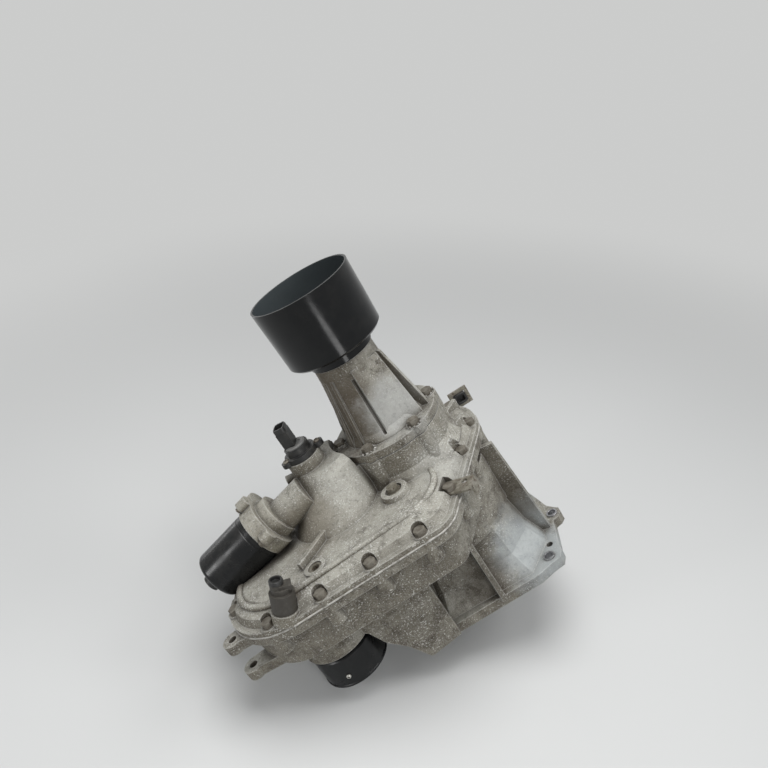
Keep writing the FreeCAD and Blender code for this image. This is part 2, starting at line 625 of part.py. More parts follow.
def extension_gasket():
    ring = tube(EXT_FLANGE_R, NECK_BORE_R - 6, NECK_TOP_Z, EXT_Z)
    return ring.cut([cyl(EXT_BOLT_R + 0.5, NECK_TOP_Z - 1, EXT_Z + 1, *polar(EXT_BOLT_PCR, a))
                     for a in ext_bolt_angles()])


def extension_bolts():
    return [flanged_bolt(EXT_BOLT_R, EXT_FLANGE_TOP + 1, EXT_BOLT_L, *polar(EXT_BOLT_PCR, a), 6.5)
            for a in ext_bolt_angles()]


def bearing_outer(r, z, x=0.0, y=0.0, width=BEARING_W):
    return tube(r, r - RACE, z, z + width, x, y)


def bearing_inner(r_in, r, z, x=0.0, y=0.0, width=BEARING_W):
    """Inner ring with its rollers and cage as one turned piece."""
    out = r - RACE - RUN
    ring = min(r_in + RACE, out - 3)
    profile = [(r_in, z), (ring, z), (ring, z + 2), (out, z + 2), (out, z + width - 2),
               (ring, z + width - 2), (ring, z + width), (r_in, z + width)]
    return turned(profile, x, y)


def seal(r_in, r_out, z0, z1, x=0.0, y=0.0):
    """Shaft seal: metal case with a lip that just clears the shaft."""
    profile = [(r_out, z0), (r_out, z1), (r_in + 2, z1), (r_in + RUN, z1 - 2), (r_in + RUN, z1 - 3),
               (r_in + 3, z0 + 2), (r_in + 3, z0)]
    return turned(profile, x, y)


def ring_gear():
    inner = gear_points(RING_TEETH, RING_ROOT_R, MODULE * RING_TEETH / 2 - 0.75 * MODULE, -BACKLASH)
    blank = cyl(BARREL_BORE_R, GEAR_Z, GEAR_TOP)
    return blank.cut(moved(prism(inner, GEAR_Z - 1, GEAR_TOP + 1), 0, 0, 180.0 / RING_TEETH))


def input_shaft():
    """Hollow input shaft, sun gear and the bore that the range sleeve's dogs enter."""
    points = gear_points(SUN_TEETH, MODULE * SUN_TEETH / 2 + 0.8 * MODULE,
                         MODULE * SUN_TEETH / 2 - 1.1 * MODULE, BACKLASH)
    sun = prism(points, GEAR_Z, GEAR_TOP)
    low = INPUT_BEARING_Z - 26
    stem = turned([(0, low), (INPUT_R - 3, low), (INPUT_R - 3, low + 8), (INPUT_R, low + 8),
                   (INPUT_R, BARREL_FLOOR_Z + 1), (INPUT_R + 8, BARREL_FLOOR_Z + 1), (INPUT_R + 8, GEAR_Z + 1),
                   (0, GEAR_Z + 1)])
    shaft = join([stem, sun])
    return shaft.cut([cyl(INPUT_BORE_R, low - 1, low + 40),
                      cyl(SLEEVE_R + 0.2, SLEEVE_Z - SLEEVE_TRAVEL - 1, GEAR_TOP + 1),
                      cyl(MAIN_R - 1 + RUN, GEAR_Z + 3.5, GEAR_TOP)])


def planet_carrier():
    """Two plates tied by four pins; the rear plate has the low range dog ring."""
    front = tube(CARRIER_R + 12, INPUT_R + 10, GEAR_Z - 6, GEAR_Z - 1)
    rear = tube(CARRIER_R + 12, SLEEVE_R + 0.2, DOG_CARRIER_Z, DOG_CARRIER_Z + DOG_LENGTH)
    rear = rear.fuse(tube(CARRIER_R + 12, CARRIER_R - 12, GEAR_TOP + 1, DOG_CARRIER_Z))
    pins = [cyl(PIN_R, GEAR_Z - 3, GEAR_TOP + 3, *polar(CARRIER_R, 360.0 / PLANETS * k)) for k in range(PLANETS)]
    return join([front, rear] + pins)


def planet_gear(index):
    angle = 360.0 / PLANETS * index
    root = MODULE * PLANET_TEETH / 2 - 1.1 * MODULE
    points = gear_points(PLANET_TEETH, MODULE * PLANET_TEETH / 2 + 0.75 * MODULE, root, BACKLASH)
    blank = prism(points, GEAR_Z, GEAR_TOP).cut(cyl(PIN_R + RUN, GEAR_Z - 1, GEAR_TOP + 1))
    # half a tooth round, so that a gap of the planet faces a tooth of the sun
    return moved(blank, *polar(CARRIER_R, angle), angle + 180 + 180.0 / PLANET_TEETH)


def main_shaft():
    return turned([(0, GEAR_Z + 4), (MAIN_R - 1, GEAR_Z + 4), (MAIN_R - 1, SLEEVE_Z - 10), (MAIN_R, SLEEVE_Z - 10),
                   (MAIN_R, EXT_Z + BEARING_W), (MAIN_R - 2, EXT_Z + BEARING_W), (MAIN_R - 2, REAR_BEARING_Z),
                   (MAIN_R - 2, REAR_BEARING_Z + BEARING_W), (MAIN_R - 3, REAR_BEARING_Z + BEARING_W),
                   (MAIN_R - 3, NUT_Z), (MAIN_R - 6, NUT_Z), (MAIN_R - 6, NUT_Z + 16), (0, NUT_Z + 16)])


def range_sleeve():
    groove_top = GROOVE_Z + FORK_THICK + 0.4
    return turned([(MAIN_R + RUN, SLEEVE_Z), (SLEEVE_R, SLEEVE_Z), (SLEEVE_R, SLEEVE_Z + DOG_LENGTH),
                   (SLEEVE_R - 3, SLEEVE_Z + DOG_LENGTH), (SLEEVE_R - 3, GROOVE_Z - 3), (COLLAR_R, GROOVE_Z - 3),
                   (COLLAR_R, GROOVE_Z), (SLEEVE_R - 3, GROOVE_Z), (SLEEVE_R - 3, groove_top),
                   (COLLAR_R, groove_top), (COLLAR_R, SLEEVE_TOP), (MAIN_R + RUN, SLEEVE_TOP)])


def range_fork():
    """Fork that rides the rail and holds the sleeve's groove from one side."""
    z0, z1 = GROOVE_Z + 0.2, GROOVE_Z + 0.2 + FORK_THICK
    horns = tube(COLLAR_R + 9, SLEEVE_R - 2.6, z0, z1).cut(box(2, -60, z0 - 1, 60, 60, z1 + 1))
    reach = prism([(-20, 30), (-20, -30), (RAIL_X, RAIL_Y - 9), (RAIL_X, RAIL_Y + 9)], z0, z1)
    reach = reach.cut(cyl(COLLAR_R + 2, z0 - 1, z1 + 1))
    hub = cyl(RAIL_R + 5, z0 - 3, z1 + 7, RAIL_X, RAIL_Y)
    share = (CAM_R + FOLLOWER_R + SEAT) / math.hypot(RAIL_X - CONTROL_X, RAIL_Y - CONTROL_Y)
    pin_x = CONTROL_X + share * (RAIL_X - CONTROL_X)
    pin_y = CONTROL_Y + share * (RAIL_Y - CONTROL_Y)
    follower = cyl(FOLLOWER_R, z0, CAM_Z + 4, pin_x, pin_y)
    tie = wall_between(RAIL_X, RAIL_Y, pin_x, pin_y, 2 * FOLLOWER_R, z0, z1)
    return join([horns, reach, hub, follower, tie]).cut(cyl(RAIL_R + RUN, z0 - 10, z1 + 10, RAIL_X, RAIL_Y))


def fork_rail():
    return cyl(RAIL_R, CHAMBER_FLOOR_Z, RAIL_TOP_Z, RAIL_X, RAIL_Y)


def control_shaft():
    """Control shaft with the drum cam that shifts the fork and the plate cam for the clutch."""
    stem = cyl(CONTROL_R, CAM_Z - 6, SENSOR_Z - 2, CONTROL_X, CONTROL_Y)
    drum = tube(CAM_R, CONTROL_R - 1, CAM_Z, CAM_Z + 12, CONTROL_X, CONTROL_Y)
    plate = cyl(PLATE_CAM_R, RAMP_Z - 4, RAMP_Z + 8, CONTROL_X, CONTROL_Y)
    return join([stem, drum, plate])


def ramp_ring():
    """Turning half of the ball ramp with the arm that reaches the control shaft's cam."""
    ring = tube(RAMP_R, MAIN_R + RUN, RAMP_Z - 4, RAMP_Z + 5)
    reach = math.hypot(CONTROL_X, CONTROL_Y) - PLATE_CAM_R - SEAT
    arm = box(RAMP_R - 4, -4, RAMP_Z, reach, 4, RAMP_Z + 5)
    return join([ring, moved(arm, 0, 0, math.degrees(math.atan2(CONTROL_Y, CONTROL_X)))])


def sprocket(bore):
    tip = SPROCKET_R + 0.5
    root = SPROCKET_R - 4.5
    points = []
    for k in range(SPROCKET_TEETH):
        middle = 360.0 * k / SPROCKET_TEETH
        for r, offset in ((root, -3.6), (tip, -1.2), (tip, 1.2), (root, 3.6)):
            points.append(polar(r, middle + offset))
    wheel = prism(points, SPROCKET_Z, SPROCKET_Z + SPROCKET_W)
    return wheel.cut(cyl(bore, SPROCKET_Z - 1, SPROCKET_Z + SPROCKET_W + 1))


def chain():
    """Chain loop round both sprockets, as one closed band."""
    def loop(r):
        angle = math.atan2(FRONT_Y, FRONT_X)
        nx, ny = -math.sin(angle) * r, math.cos(angle) * r
        far = V(FRONT_X + math.cos(angle) * r, FRONT_Y + math.sin(angle) * r, z0)
        near = V(-math.cos(angle) * r, -math.sin(angle) * r, z0)
        a, b = V(nx, ny, z0), V(FRONT_X + nx, FRONT_Y + ny, z0)
        c, d = V(FRONT_X - nx, FRONT_Y - ny, z0), V(-nx, -ny, z0)
        edges = [Part.makeLine(a, b), Part.Arc(b, far, c).toShape(), Part.makeLine(c, d),
                 Part.Arc(d, near, a).toShape()]
        return Part.Face(Part.Wire(edges))
    z0 = SPROCKET_Z + 1.5
    height = V(0, 0, SPROCKET_W - 3)
    return loop(CHAIN_IN_R + CHAIN_THICK).extrude(height).cut(loop(CHAIN_IN_R).extrude(height))


def clutch_drum():
    """Drum that carries the chain sprocket and turns the outer plates."""
    top = CLUTCH_Z + 4 + 2 * PLATE_PAIRS * PLATE + 2
    floor = tube(DRUM_R, MAIN_R + RUN, CLUTCH_Z - 4, CLUTCH_Z)
    wall = tube(DRUM_R, PLATE_OUT_R + 0.1, CLUTCH_Z - 4, top)
    neck = tube(MAIN_R + 8, MAIN_R + RUN, SPROCKET_Z + SPROCKET_W, CLUTCH_Z)
    return join([floor, wall, neck])


def clutch_plates(inner):
    plates = []
    for k in range(PLATE_PAIRS):
        z = CLUTCH_Z + 2 + 2 * PLATE * k + (PLATE if inner else 0)
        if inner:
            plates.append(tube(PLATE_OUT_R - 3, PLATE_IN_R, z + 0.1, z + PLATE - 0.1))
        else:
            plates.append(tube(PLATE_OUT_R + 0.1, PLATE_IN_R + 3, z, z + PLATE))
    return plates


def clutch_hub():
    return tube(PLATE_IN_R, MAIN_R, CLUTCH_Z + 2, CLUTCH_Z + 2 + 2 * PLATE_PAIRS * PLATE)


def pressure_plate():
    z = CLUTCH_Z + 2 + 2 * PLATE_PAIRS * PLATE + 1.2
    return tube(PLATE_OUT_R, MAIN_R + RUN, z, z + 4)


def oil_pump_housing():
    """Pump body under the middle bearing, with the fixed half of the ball ramp on its face."""
    ramp = tube(RAMP_R, MAIN_R + 14, RAMP_Z + 5 + SEAT, NECK_TOP_Z - 9)
    return join([tube(NECK_BORE_R, MAIN_R + 14, NECK_TOP_Z - 9, NECK_TOP_Z), ramp])


def pump_rotor():
    lobes = [polar(MAIN_R + (12 if k % 2 else 9.5), 36 * k) for k in range(10)]
    return prism(lobes, NECK_TOP_Z - 8.5, NECK_TOP_Z - 0.5).cut(cyl(MAIN_R, NECK_TOP_Z - 10, NECK_TOP_Z))


def rear_flange():
    """Output flange: hub through the seal, disc with six threaded holes inside the cup."""
    disc_z = CUP_Z + CUP_WALL
    flange = turned([(MAIN_R - 3, REAR_BEARING_Z + BEARING_W), (HUB_R, REAR_BEARING_Z + BEARING_W), (HUB_R, disc_z),
                     (REAR_DISC_R, disc_z), (REAR_DISC_R, disc_z + 9), (MAIN_R + 6, disc_z + 9),
                     (MAIN_R + 6, NUT_Z), (MAIN_R - 3, NUT_Z)])
    return flange.cut([cyl(REAR_HOLE_R, disc_z - 1, disc_z + 10, *polar(REAR_HOLE_PCR, 60 * k))
                       for k in range(REAR_HOLES)])


def rear_cup():
    """Thin pressed cup clamped under the flange disc, flaring slightly to its rim."""
    floor = CUP_Z + CUP_WALL
    return turned([(HUB_R, CUP_Z), (CUP_FLOOR_R - 3, CUP_Z), (CUP_FLOOR_R, CUP_Z + 3), (CUP_RIM_R, CUP_Z + CUP_H),
                   (CUP_RIM_R - CUP_WALL, CUP_Z + CUP_H), (CUP_FLOOR_R - CUP_WALL, floor + 3),
                   (CUP_FLOOR_R - CUP_WALL - 3, floor), (HUB_R, floor)])


def rear_collar():
    """Dust collar pressed on the hub, hanging over the end of the extension housing."""
    return turned([(HUB_R, CUP_Z - 8), (COLLAR_OUT_R - 3, CUP_Z - 8), (COLLAR_OUT_R - 3, EXT_TOP_Z + 1),
                   (COLLAR_OUT_R, EXT_TOP_Z + 1), (COLLAR_OUT_R, CUP_Z), (HUB_R, CUP_Z)])


def shaft_nut(thread_r, across, z0, z1, x=0.0, y=0.0):
    return hex_prism(across, z0, z1, x, y).cut(cyl(thread_r, z0 - 1, z1 + 1, x, y))


def front_output_shaft():
    low = CAN_FLOOR_Z - CAN_WALL - 22
    return turned([(0, low), (FRONT_SHAFT_R - 4, low), (FRONT_SHAFT_R - 4, low + 12), (FRONT_SHAFT_R, low + 12),
                   (FRONT_SHAFT_R, COVER_BEARING_Z + COVER_BEARING_W - 1), (0, COVER_BEARING_Z + COVER_BEARING_W - 1)],
                  FRONT_X, FRONT_Y)


def front_flange():
    top = CAN_FLOOR_Z - CAN_WALL
    flange = turned([(FRONT_SHAFT_R, top - 10), (FRONT_DISC_R, top - 10), (FRONT_DISC_R, top), (HUB_R, top),
                     (HUB_R, FRONT_BEARING_Z), (FRONT_SHAFT_R, FRONT_BEARING_Z)], FRONT_X, FRONT_Y)
    return flange.cut([cyl(REAR_HOLE_R, top - 11, top + 1, *polar(FRONT_HOLE_PCR, 60 * k, FRONT_X, FRONT_Y))
                       for k in range(FRONT_HOLES)])


def front_can():
    top = CAN_FLOOR_Z - CAN_WALL
    return turned([(HUB_R, CAN_FLOOR_Z), (CAN_R - 3, CAN_FLOOR_Z), (CAN_R, CAN_FLOOR_Z - 3), (CAN_R, CAN_RIM_Z + 3),
                   (CAN_R + 1, CAN_RIM_Z + 2), (CAN_R + 1, CAN_RIM_Z), (CAN_R - CAN_WALL, CAN_RIM_Z),
                   (CAN_R - CAN_WALL, top), (HUB_R, top)], FRONT_X, FRONT_Y)


def socket_plug():
    """Filler plug, sunk in its boss, with a hexagon socket."""
    body = cyl(FILL_R, FILL_Z - FILL_DEPTH, FILL_Z - 1.5, FILL_X, FILL_Y)
    return body.cut(hex_prism(10, FILL_Z - 7, FILL_Z, FILL_X, FILL_Y))


def level_plug():
    """Level plug with a round head in its spotface."""
    seat = LEVEL_Z - LEVEL_DEEP
    return join([cyl(LEVEL_R, seat - 9, seat, LEVEL_X, LEVEL_Y), cyl(LEVEL_R + 2, seat, seat + 2, LEVEL_X, LEVEL_Y),
                 cyl(LEVEL_R, seat, seat + 8, LEVEL_X, LEVEL_Y)])


def speed_sensor():
    """Sensor stub with its moulded connector, leaning towards the middle of the cover."""
    return leaned(join([cyl(STUB_R, 0, 24), cyl(11, 24, 30), cyl(8, 30, 36, -4, 0), box(-2, -8, 28, 12, 6, 34),
                        cyl(8, -8, 0)]))


def position_sensor():
    """Round sensor on the hump with a rectangular connector on its side."""
    disc = join([cyl(21, SENSOR_Z, SENSOR_Z + 7, CONTROL_X, CONTROL_Y),
                 cyl(16, SENSOR_Z + 7, SENSOR_Z + 16, CONTROL_X, CONTROL_Y)])
    plug_box = box(-12, -7, SENSOR_Z + 5, 2, 11, SENSOR_Z + 40)
    ears = [cyl(7, SENSOR_Z, SENSOR_Z + 6, -17, -13), cyl(7, SENSOR_Z, SENSOR_Z + 6, 24, 5)]
    return join([disc] + [moved(piece, CONTROL_X, CONTROL_Y, -15) for piece in [plug_box] + ears])


def actuator_housing():
    """Die-cast gear head between the pad and the motor."""
    head = along_motor(MOTOR_R + 2, 0, GEARHEAD_T)
    wing = along_motor(20, 0, GEARHEAD_T, 26, 14)
    inner_half = along_motor(GEAR_CASE_R, -GEAR_CASE_T, GEAR_CASE_T + 1)
    ears = [along_motor(EAR_R, 0, GEARHEAD_T - 6, dx, dy) for dx, dy in EARS]
    body = join([head, wing, inner_half] + ears)
    return body.cut(along_motor(ARMATURE_R + RUN, GEARHEAD_T - 10, 12))


def actuator_motor_can():
    can = along_motor(MOTOR_R, GEARHEAD_T, MOTOR_L)
    can = can.cut(along_motor(MOTOR_R - 2, GEARHEAD_T - 1, MOTOR_L - 1))
    bearing = along_motor(ARMATURE_R + 4, GEARHEAD_T + MOTOR_L - 12, 11)
    return can.fuse(bearing).cut(along_motor(ARMATURE_R + RUN, GEARHEAD_T + MOTOR_L - 13, 9.5))


def motor_armature():
    core = along_motor(MOTOR_R - 9, GEARHEAD_T + 12, MOTOR_L - 26)
    return join([core, along_motor(ARMATURE_R, GEARHEAD_T - 8, MOTOR_L + 4)])


def actuator_connector():
    return along_motor(11, GEARHEAD_T + MOTOR_L, 12)


def bracket_foot(margin):
    x, y = BRACKET_BOLT
    z = COVER_BOSS_Z
    return box(x - 8 - margin, y - 8 - margin, z, x + 9 + margin, y + 14 + margin, z + BRACKET_T + 20 * margin)


def wiring_bracket():
    """Bent steel bracket with a square window that stands out past the rim, held by one cover bolt."""
    x, y = BRACKET_BOLT
    z = COVER_BOSS_Z
    leg = box(x + 5.5, y + 14 - BRACKET_T, z - 12, x + 34, y + 14, z + 14)
    window = box(x + 11, y, z - 7, x + 29, y + 15, z + 9)
    return join([bracket_foot(0), leg]).cut(window).cut(cyl(COVER_BOLT_R + RUN, z - 1, z + BRACKET_T + 1, x, y))


def tab_plate(margin):
    x, y = TAB_BOLT
    z = COVER_BOSS_Z
    plate = box(-9 - margin, -9 - margin, z, TAB_L, TAB_W - 9 + margin, z + BRACKET_T + 20 * margin)
    return moved(plate, x, y, TAB_TURN)


def harness_tab():
    """Steel tab for the wiring, held by one cover bolt, reaching over the rim and bent down there."""
    z = COVER_BOSS_Z
    x, y = TAB_BOLT
    leg = moved(box(TAB_L - BRACKET_T, 0, z - 15, TAB_L, TAB_W - 9, z + BRACKET_T), x, y, TAB_TURN)
    holes = [cyl(COVER_BOLT_R + RUN, z - 1, z + BRACKET_T + 1, x, y),
             moved(cyl(4, z - 1, z + BRACKET_T + 1, TAB_L - 11, TAB_W / 2 - 4), x, y, TAB_TURN)]
    return tab_plate(0).fuse(leg).cut(holes)


def build():
    """Every piece by name; a list is a group of separate solids."""
    nodes = {
        "front_case": front_case(),
        "rear_cover": rear_cover(),
        "case_gasket": case_gasket(),
        "cover_bolts": cover_bolts(),
        "extension_housing": extension_housing(),
        "extension_gasket": extension_gasket(),
        "extension_bolts": extension_bolts(),
        "flange_bushes": [tube(BUSH_R, BELL_HOLE_R, 0, FLANGE_THICK + 2, x, y) for x, y in bush_places()],
        "bearing_outer_rings": [bearing_outer(INPUT_BEARING_R, INPUT_BEARING_Z),
                                bearing_outer(MID_BEARING_R, MID_BEARING_Z),
                                bearing_outer(REAR_BEARING_R, REAR_BEARING_Z),
                                bearing_outer(FRONT_BEARING_R, FRONT_BEARING_Z, FRONT_X, FRONT_Y),
                                bearing_outer(COVER_BEARING_R, COVER_BEARING_Z, FRONT_X, FRONT_Y, COVER_BEARING_W)],
        "input_seal": seal(INPUT_R, INPUT_R + 10, INPUT_BEARING_Z - 10, INPUT_BEARING_Z),
        "rear_seal": seal(HUB_R, HUB_R + 9, EXT_TOP_Z - 10, EXT_TOP_Z),
        "front_seal": seal(HUB_R, HUB_R + 9, CAN_FLOOR_Z + 4, CAN_FLOOR_Z + 13, FRONT_X, FRONT_Y),
        "ring_gear": ring_gear(),
        "fork_rail": fork_rail(),
        "chain": chain(),
        "oil_pump_housing": oil_pump_housing(),
        "fill_plug": socket_plug(),
        "level_plug": level_plug(),
        "speed_sensor": speed_sensor(),
        "position_sensor": position_sensor(),
        "actuator_housing": actuator_housing(),
        "actuator_motor_can": actuator_motor_can(),
        "actuator_connector": actuator_connector(),
        "wiring_bracket": [wiring_bracket(), harness_tab()],
        "input_shaft": input_shaft(),
        "input_bearing_inner": bearing_inner(INPUT_R, INPUT_BEARING_R, INPUT_BEARING_Z),
        "planet_carrier": planet_carrier(),
        "main_shaft": main_shaft(),
        "main_bearing_inners": [bearing_inner(MAIN_R, MID_BEARING_R, MID_BEARING_Z),
                                bearing_inner(MAIN_R - 2, REAR_BEARING_R, REAR_BEARING_Z)],
        "pump_rotor": pump_rotor(),
        "clutch_hub": clutch_hub(),
        "clutch_inner_plates": clutch_plates(True),
        "rear_flange": rear_flange(),
        "rear_cup": rear_cup(),
        "rear_dust_collar": rear_collar(),
        "rear_nut": shaft_nut(MAIN_R - 6, 30, NUT_Z, NUT_Z + 12),
        "range_sleeve": range_sleeve(),
        "range_fork": range_fork(),
        "control_shaft": control_shaft(),
        "ramp_ring": ramp_ring(),
        "pressure_plate": pressure_plate(),
        "drive_sprocket": sprocket(MAIN_R + RUN),
        "clutch_drum": clutch_drum(),
        "clutch_outer_plates": clutch_plates(False),
        "front_output_shaft": front_output_shaft(),
        "driven_sprocket": moved(sprocket(FRONT_SHAFT_R), FRONT_X, FRONT_Y),
        "front_flange": front_flange(),
        "front_can": front_can(),
        "front_nut": shaft_nut(FRONT_SHAFT_R - 4, 26, CAN_FLOOR_Z - CAN_WALL - 21, CAN_FLOOR_Z - CAN_WALL - 10,
                               FRONT_X, FRONT_Y),
        "front_bearing_inners": [bearing_inner(FRONT_SHAFT_R, FRONT_BEARING_R, FRONT_BEARING_Z, FRONT_X, FRONT_Y),
                                 bearing_inner(FRONT_SHAFT_R, COVER_BEARING_R, COVER_BEARING_Z, FRONT_X, FRONT_Y,
                                               COVER_BEARING_W)],
        "motor_armature": motor_armature(),
    }
    for index in range(PLANETS):
        nodes["planet_gear_%d" % (index + 1)] = planet_gear(index)
    return nodes


os.makedirs("parts", exist_ok=True)
for name, shape in build().items():
    if isinstance(shape, list):
        shape = Part.makeCompound(shape)
    export(shape, name)
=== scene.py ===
"""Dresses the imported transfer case: camera, stage, finishes and the detailed outer pieces."""

import math

import bmesh
import bpy
import numpy as np
from bpy.props import FloatProperty, FloatVectorProperty, IntProperty, PointerProperty
from mathutils import Matrix, Vector


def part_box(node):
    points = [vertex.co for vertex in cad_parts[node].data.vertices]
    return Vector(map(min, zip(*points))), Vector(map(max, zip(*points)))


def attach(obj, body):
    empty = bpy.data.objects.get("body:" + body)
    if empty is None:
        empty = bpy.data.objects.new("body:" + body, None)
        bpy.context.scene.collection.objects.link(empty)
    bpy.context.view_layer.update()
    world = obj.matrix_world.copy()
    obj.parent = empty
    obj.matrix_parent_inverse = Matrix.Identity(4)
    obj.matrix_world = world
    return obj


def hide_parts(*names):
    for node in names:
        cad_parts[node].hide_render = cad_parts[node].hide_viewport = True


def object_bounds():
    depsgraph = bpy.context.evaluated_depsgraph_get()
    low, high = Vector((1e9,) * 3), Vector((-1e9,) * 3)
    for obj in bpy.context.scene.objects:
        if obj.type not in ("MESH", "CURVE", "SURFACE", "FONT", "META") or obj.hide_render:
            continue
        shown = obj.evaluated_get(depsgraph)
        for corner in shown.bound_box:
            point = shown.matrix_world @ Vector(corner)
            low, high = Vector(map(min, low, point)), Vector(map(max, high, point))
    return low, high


bl_info = {
    "name": "Transfer Case Dressing",
    "version": (1, 0, 0),
    "blender": (4, 5, 0),
    "location": "View3D > Sidebar > Transfer Case",
    "description": "Finishes and detailed outer pieces for a four-wheel-drive transfer case",
    "category": "Object",
}

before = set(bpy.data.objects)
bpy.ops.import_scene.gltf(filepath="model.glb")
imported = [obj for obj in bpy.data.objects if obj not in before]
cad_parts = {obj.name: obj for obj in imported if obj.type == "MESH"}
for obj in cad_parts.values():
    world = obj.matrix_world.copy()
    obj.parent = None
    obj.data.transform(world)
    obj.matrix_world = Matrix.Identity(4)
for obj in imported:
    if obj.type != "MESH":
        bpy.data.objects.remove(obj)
CAD_BOX = [list(corner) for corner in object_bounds()]

# Photograph's viewpoint in the part's frame, metres
CAMERA_PLACE = (0.0167, -0.8818, 0.6566)
CAMERA_FORWARD = (0.0075, 0.9266, -0.3761)
CAMERA_UP = (0.5336, 0.3144, 0.7851)
CAMERA_LENS = 35.8
CAMERA_SENSOR = 36.0

# The case lies tilted on the floor in the photograph: the floor's upward normal in its frame
FLOOR_NORMAL = (0.4717, -0.2272, 0.8520)

# Case outline: round corners in the part's frame (x, y, radius), and the joint face's height
OUTLINE = ((-0.197, -0.085, 0.0825), (-0.016, -0.1325, 0.035), (0.014, 0.024, 0.090))
JOINT_Z = 0.1804

# Meshes: welding distance in metres, degrees above which an edge stays sharp on hard and on soft pieces,
# and the points round a section, round a large one and along a path
WELD = 1e-6
SHARP_ANGLE = 35.0
SOFT_ANGLE = 80.0
SECTION_STEPS = 48
ROUND_STEPS = 96
PATH_STEPS = 720

# Actuator: where its axis leaves the pad, and the axis's tilt and direction
MOTOR_AT = (-0.181, -0.043, 0.243)
MOTOR_TILT = math.radians(15)
MOTOR_DIR = (-math.cos(MOTOR_TILT), 0.0, -math.sin(MOTOR_TILT))

# Motor can, along the actuator's axis: where it starts, its length, outer radius, wall and end corner
MOTOR_START = 0.0201
MOTOR_LENGTH = 0.0779
MOTOR_RADIUS = 0.0325
MOTOR_WALL = 0.002
MOTOR_CORNER = 0.006

# Position sensor on the hump: its seat and how far it is turned
SENSOR_PLACE = (-0.108, -0.016, 0.284)
SENSOR_TURN = math.radians(-15)

# Sensor stub on the cover: its seat and its lean towards +X
STUB_PLACE = (-0.203, -0.153, 0.196)
STUB_LEAN = math.radians(23)

# Front propeller shaft's can: its axis and outer radius
CAN_AXIS = (-0.191, -0.085)
CAN_RADIUS = 0.044

# Stage
FLOOR_GAP = 0.0005
FLOOR_RADIUS = 9.0
FLOOR_COLOUR = (0.60, 0.605, 0.60)
FLOOR_FADE = (0.5, 1.7)
BACKDROP_COLOUR = (0.60, 0.605, 0.60)
AMBIENT_COLOUR = (0.96, 0.98, 1.0)
AMBIENT_STRENGTH = 0.3

# Soft lamps: name, place, diameter and share of the lamp power. The top one has its diameter and share
# here, and hangs over the part along the floor's normal
TOP_LAMP_DISTANCE = 1.5
TOP_LAMP = (1.1, 0.68)
LAMPS = (
    ("front", (0.25, -1.3, 0.45), 0.35, 0.10),
    ("right", (1.4, -0.5, 0.7), 0.7, 0.2),
    ("left", (-1.2, -0.6, 1.1), 0.4, 0.16),
    ("back", (-0.9, 1.4, 0.5), 1.2, 0.42),
    ("low", (0.05, -1.0, 0.03), 0.22, 0.022),
)

# Noise scales, features per metre: the cast skin's six, whose grain steel shares, then the edge of a patch,
# dust, coating, steel, plastic and sealant
CLOUD_SCALE = 26.0
BLOTCH_SCALE = 48.0
DRIFT_SCALE = 30.0
PIT_SCALE = 330.0
SPECK_SCALE = 520.0
GRAIN_SCALE = 700.0
RAGGED_SCALE = 40.0
DUST_SPECK_SCALE = 620.0
SMEAR_SCALE = 24.0
RIPPLE_SCALE = 14.0
STEEL_CLOUD_SCALE = 120.0
RUST_SCALE = 210.0
MOULD_GRAIN_SCALE = 1500.0
BEAD_DIRT_SCALE = 130.0
BEAD_GRAIN_SCALE = 900.0

# Patches of other tones on the castings: centre, reach, colour or the name of one in CaseLook, strength
CASE_PATCHES = (
    ((0.078, -0.080, 0.035), 0.075, "clean", 0.75),
    ((0.070, 0.080, 0.040), 0.08, "clean", 0.6),
    ((0.000, -0.088, 0.030), 0.045, "stain", 0.6),
    ((0.092, -0.037, 0.085), 0.055, "stain", 0.45),
)
COVER_PATCHES = (
    ((-0.075, -0.070, 0.250), 0.05, (0.42, 0.415, 0.38), 0.4),
    ((0.030, -0.080, 0.200), 0.05, (0.42, 0.42, 0.395), 0.4),
    ((-0.140, -0.070, 0.225), 0.05, (0.22, 0.195, 0.15), 0.5),
)
EXTENSION_PATCHES = (
    # The first extension patch darkens the extension's left side: painted shade, with stain
    ((-0.045, -0.040, 0.315), 0.075, (0.085, 0.068, 0.048), 0.8),
    ((0.020, -0.045, 0.285), 0.05, (0.42, 0.425, 0.41), 0.7),
)

# Screws: places in the frame of the piece that carries them, and the share of the screw size each has
EAR_SPOTS = ((0.0340, 0.0200), (-0.0387, 0.0046), (0.0060, 0.0380))
EAR_FACE = 0.014
EAR_SCREW_SHARE = 0.85
EAR_SCREW_HEIGHT = 0.0045
EAR_SCREW_FLANGE = 1.2
SENSOR_EARS = ((-0.017, -0.013), (0.024, 0.005))
SENSOR_EAR_TOP = 0.006
SENSOR_SCREW_SHARE = 0.55
CAN_SCREW_TURN = math.radians(-103)
CAN_SCREW_Z = 0.0525
CAN_SCREW_SUNK = 0.0003
CAN_SCREW_SHARE = 0.4

